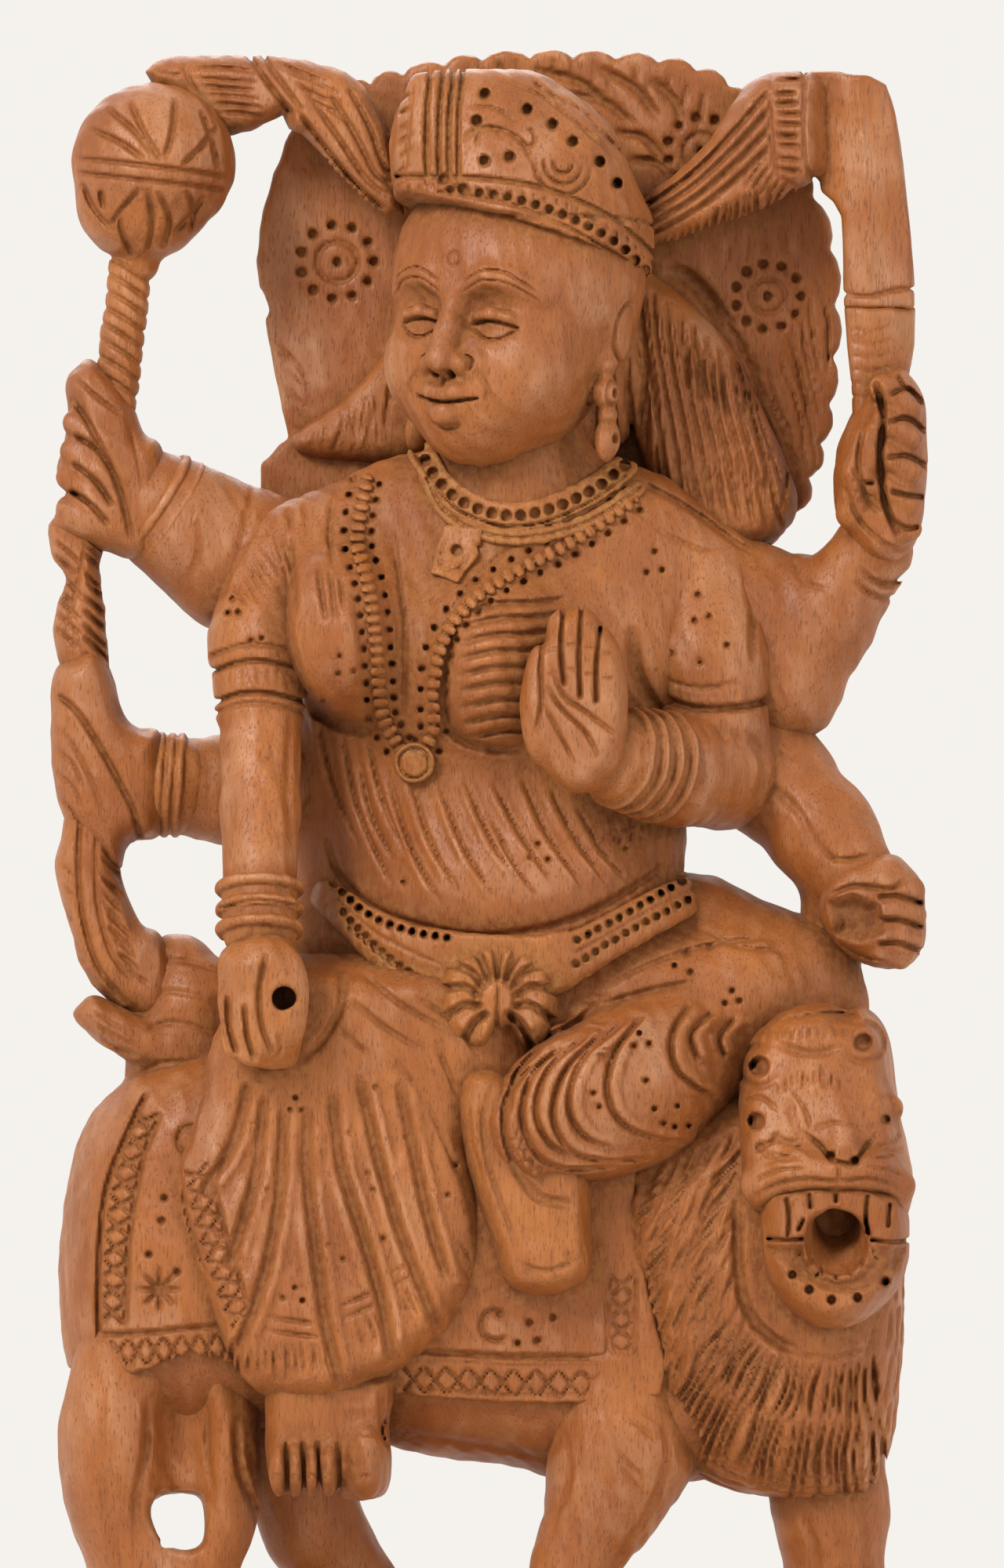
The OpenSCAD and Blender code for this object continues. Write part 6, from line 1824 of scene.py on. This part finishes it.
def wood(name, pale, deep, shine):
    """Waxed wood: upright fibres, soft cloudy variation, painted shade in hollows and cuts, painted
    highlights on raised ridges, painted light on open faces, and dust in the deepest cuts.
    """
    mat = bpy.data.materials.new(name)
    mat.use_nodes = True
    nodes, links = mat.node_tree.nodes, mat.node_tree.links
    shader = nodes["Principled BSDF"]
    where = nodes.new("ShaderNodeTexCoord").outputs["Object"]

    def noise(scale, stretch, detail, rough=0.55, warp=0.0):
        mapping = nodes.new("ShaderNodeMapping")
        mapping.inputs["Scale"].default_value = stretch
        links.new(where, mapping.inputs["Vector"])
        tex = nodes.new("ShaderNodeTexNoise")
        tex.inputs["Scale"].default_value = scale / (UNIT * 1000)
        tex.inputs["Detail"].default_value = detail
        tex.inputs["Roughness"].default_value = rough
        tex.inputs["Distortion"].default_value = warp
        links.new(mapping.outputs["Vector"], tex.inputs["Vector"])
        return tex.outputs["Fac"]

    def ranged(value, low, high, out_low=0.0, out_high=1.0):
        node = nodes.new("ShaderNodeMapRange")
        links.new(value, node.inputs["Value"])
        for slot_name, number in (("From Min", low), ("From Max", high), ("To Min", out_low),
                                  ("To Max", out_high)):
            node.inputs[slot_name].default_value = number
        return node.outputs["Result"]

    def maths(kind, a, b):
        node = nodes.new("ShaderNodeMath")
        node.operation = kind
        for socket, value in zip(node.inputs, (a, b)):
            if isinstance(value, (int, float)):
                socket.default_value = value
            else:
                links.new(value, socket)
        return node.outputs[0]

    def mixed(fac, a, b, kind="MIX"):
        node = nodes.new("ShaderNodeMix")
        node.data_type = "RGBA"
        node.blend_type = kind
        for socket, value in ((node.inputs[0], fac), (node.inputs[6], a), (node.inputs[7], b)):
            if isinstance(value, (int, float, tuple)):
                socket.default_value = value
            else:
                links.new(value, socket)
        return node.outputs[2]

    def attribute(key):
        node = nodes.new("ShaderNodeAttribute")
        node.attribute_name = key
        return node.outputs["Fac"]

    fibres = noise(2600, (1, 1, 0.045), 3)
    streaks = noise(520, (1, 1, 0.10), 3, warp=0.6)
    clouds = noise(75, (1, 1, 0.6), 3)
    cut = attribute("carve")
    hollow = attribute("hollow")
    dusty = attribute("dust")
    colour = mixed(ranged(clouds, 0.36, 0.64), pale, deep)
    colour = mixed(ranged(streaks, 0.40, 0.72, 0.0, 0.35), colour, deep)
    colour = mixed(ranged(fibres, 0.42, 0.66, 0.0, 0.22), colour, DARK)
    # painted shade: the wood darkens towards DARK in deep corners and hollows
    colour = mixed(ranged(hollow, 0.10, 0.75, 0.0, 0.72), colour, DARK)
    mottle = noise(260, (1, 1, 0.5), 5, 0.68)
    colour = mixed(ranged(mottle, 0.36, 0.66, 0.0, 0.50), colour, deep)
    flecks = noise(1700, (1, 1, 0.30), 3, 0.7)
    colour = mixed(ranged(flecks, 0.56, 0.74, 0.0, 0.40), colour, pale)
    # painted shade in the knife cuts: the deeper the cut, the darker the wood
    colour = mixed(ranged(cut, 0.15, 1.5, 0.0, 0.46), colour, DARK)
    # painted highlight: raised ridges are made paler
    colour = mixed(ranged(cut, -0.6, -0.05, 0.25, 0.0), colour, pale)
    # painted light: open faces, away from hollows, are mixed in patches towards a paler tone
    painted_light_mask = maths("MULTIPLY", ranged(hollow, 0.0, 0.14, 1.0, 0.0),
                 ranged(noise(110, (1, 1, 0.55), 4, 0.6), 0.44, 0.62, 0.0, 0.62))
    colour = mixed(painted_light_mask, colour, PAINTED_LIGHT)
    pores = noise(4200, (1, 1, 0.16), 2, 0.7)
    colour = mixed(ranged(pores, 0.56, 0.70, 0.0, 0.60), colour, DARK)
    grains = noise(900, (1, 1, 1), 2)
    amount = maths("MULTIPLY", maths("MULTIPLY", dusty, ranged(hollow, 0.12, 0.5)),
                   ranged(grains, 0.42, 0.60, 0.15, 0.9))
    colour = mixed(amount, colour, DUST)
    links.new(colour, shader.inputs["Base Color"])
    gloss = maths("ADD", ranged(streaks, 0.3, 0.7, shine - 0.05, shine + 0.10),
                  ranged(hollow, 0.1, 0.6, 0.0, 0.25))
    links.new(gloss, shader.inputs["Roughness"])
    shader.inputs["Specular IOR Level"].default_value = 0.38
    shader.inputs["Coat Weight"].default_value = 0.05
    shader.inputs["Coat Roughness"].default_value = 0.30
    height = maths("ADD", maths("MULTIPLY", fibres, 0.6),
                   maths("MULTIPLY", noise(1500, (1, 1, 0.35), 2), 0.7))
    height = maths("SUBTRACT", height, ranged(pores, 0.56, 0.70, 0.0, 0.8))
    bump = nodes.new("ShaderNodeBump")
    bump.inputs["Strength"].default_value = 0.55
    bump.inputs["Distance"].default_value = 0.00012 * UNIT * 1000
    links.new(height, bump.inputs["Height"])
    links.new(bump.outputs["Normal"], shader.inputs["Normal"])
    return mat


DARK = (0.110, 0.026, 0.003, 1)
DUST = (0.43, 0.205, 0.055, 1)
# the paler tone that is painted on open faces as light
PAINTED_LIGHT = (0.415, 0.200, 0.098, 1)
# one wood in three copies: the plain one, a paler copy with painted light, and a darker copy with painted
# shade
WOODS = {
    "wood": wood("waxed_wood", (0.370, 0.120, 0.023, 1), (0.240, 0.064, 0.009, 1), 0.50),
    "wood_light": wood("waxed_wood_painted_lit", (0.410, 0.142, 0.030, 1), (0.275, 0.080, 0.013, 1), 0.48),
    "wood_shaded": wood("waxed_wood_shaded", (0.325, 0.098, 0.018, 1), (0.215, 0.054, 0.007, 1), 0.54),
}

# ------------------------------------------------------------------ building the pieces

EYE_DISTANCE, EYE_HEIGHT = 666.7, 140.0


def drawn_in(points):
    """As the carver saw it from in front: near forms are drawn in, and far ones are let out."""
    above_plinth = np.clip((points[:, 2] - 12) / 28, 0, 1)
    share = above_plinth * points[:, 1] / EYE_DISTANCE
    seen = points.copy()
    seen[:, 0] *= 1 + share
    seen[:, 2] += (points[:, 2] - EYE_HEIGHT) * share
    return seen


crowd = Crowding(cad_low, cad_high)
with ThreadPoolExecutor(4) as pool:
    for where in pool.map(lambda e: crowd.part(e["world"]), PIECES):
        crowd.put(*where)
    carved = list(pool.map(sculpt, PIECES))

for entry, (points, quads, cut) in zip(PIECES, carved):
    mesh = make_mesh("carved_" + entry["nodes"][0], drawn_in(points), quads)
    normals = np.empty(len(points) * 3, np.float32)
    mesh.vertices.foreach_get("normal", normals)
    # hollow says how shut in each place is: the wood gets painted shade there, and dust
    values = {"carve": cut, "hollow": crowd.hollow(points, normals.reshape(-1, 3)),
              "dust": np.full(len(points), entry["dust"])}
    for key, value in values.items():
        mesh.attributes.new(key, "FLOAT", "POINT").data.foreach_set("value", value.astype(np.float32))
    mesh.materials.append(WOODS[entry["finish"]])
    obj = bpy.data.objects.new("carved_" + entry["nodes"][0], mesh)
    bpy.context.collection.objects.link(obj)
    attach(obj, "root")
    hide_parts(*entry["nodes"])

# ------------------------------------------------------------------ camera, lights, floor

scene = bpy.context.scene
FRAME_HEIGHT, LENS, SENSOR = 200, 120, 36
FLOOR_RADIUS, FLOOR_SIDES = 0.235, 96
eye_level = EYE_HEIGHT * UNIT
scale = UNIT * 1000

camera_data = bpy.data.cameras.new("view")
camera_data.sensor_fit = "VERTICAL"
camera_data.sensor_height = SENSOR
camera_data.lens = LENS
camera = bpy.data.objects.new("view", camera_data)
camera.location = (0, -FRAME_HEIGHT * UNIT * LENS / SENSOR, eye_level)
camera.rotation_euler = (math.radians(90), 0, 0)
bpy.context.collection.objects.link(camera)
scene.camera = camera


def paper():
    mat = bpy.data.materials.new("pale_paper")
    mat.use_nodes = True
    shader = mat.node_tree.nodes["Principled BSDF"]
    shader.inputs["Base Color"].default_value = (0.90, 0.88, 0.84, 1)
    shader.inputs["Roughness"].default_value = 0.95
    shader.inputs["Specular IOR Level"].default_value = 0.1
    return mat


floor_mesh = bpy.data.meshes.new("floor")
rim = [(FLOOR_RADIUS * scale * math.cos(a), FLOOR_RADIUS * scale * math.sin(a), 0)
       for a in np.linspace(0, 2 * math.pi, FLOOR_SIDES + 1)[:-1]]
floor_mesh.from_pydata(rim, [], [tuple(range(FLOOR_SIDES))])
floor_mesh.materials.append(paper())
floor = bpy.data.objects.new("floor", floor_mesh)
bpy.context.collection.objects.link(floor)


def lamp(name, place, size, power, colour=(1, 1, 1)):
    data = bpy.data.lights.new(name, "AREA")
    data.shape = "DISK"
    data.size = size * scale
    data.energy = power * scale ** 2
    data.color = colour
    obj = bpy.data.objects.new(name, data)
    obj.location = tuple(c * scale for c in place)
    aim = np.array((0, 0, eye_level)) - np.array(obj.location)
    flat = math.hypot(aim[0], aim[1])
    obj.rotation_euler = (math.atan2(flat, -aim[2]), 0, math.atan2(-aim[0], aim[1]))
    bpy.context.collection.objects.link(obj)


lamp("key", (-0.42, -0.52, 0.60), 0.26, 5.2, (1.0, 0.98, 0.95))
lamp("fill", (0.62, -0.50, 0.34), 0.40, 1.5, (1.0, 0.98, 0.96))
lamp("rim", (-0.10, 0.60, 0.60), 0.50, 2.4)

world = bpy.data.worlds.new("studio")
scene.world = world
world.use_nodes = True
world.node_tree.nodes["Background"].inputs["Color"].default_value = (0.913, 0.888, 0.847, 1)
world.node_tree.nodes["Background"].inputs["Strength"].default_value = 1.0
scene.view_settings.view_transform = "Standard"
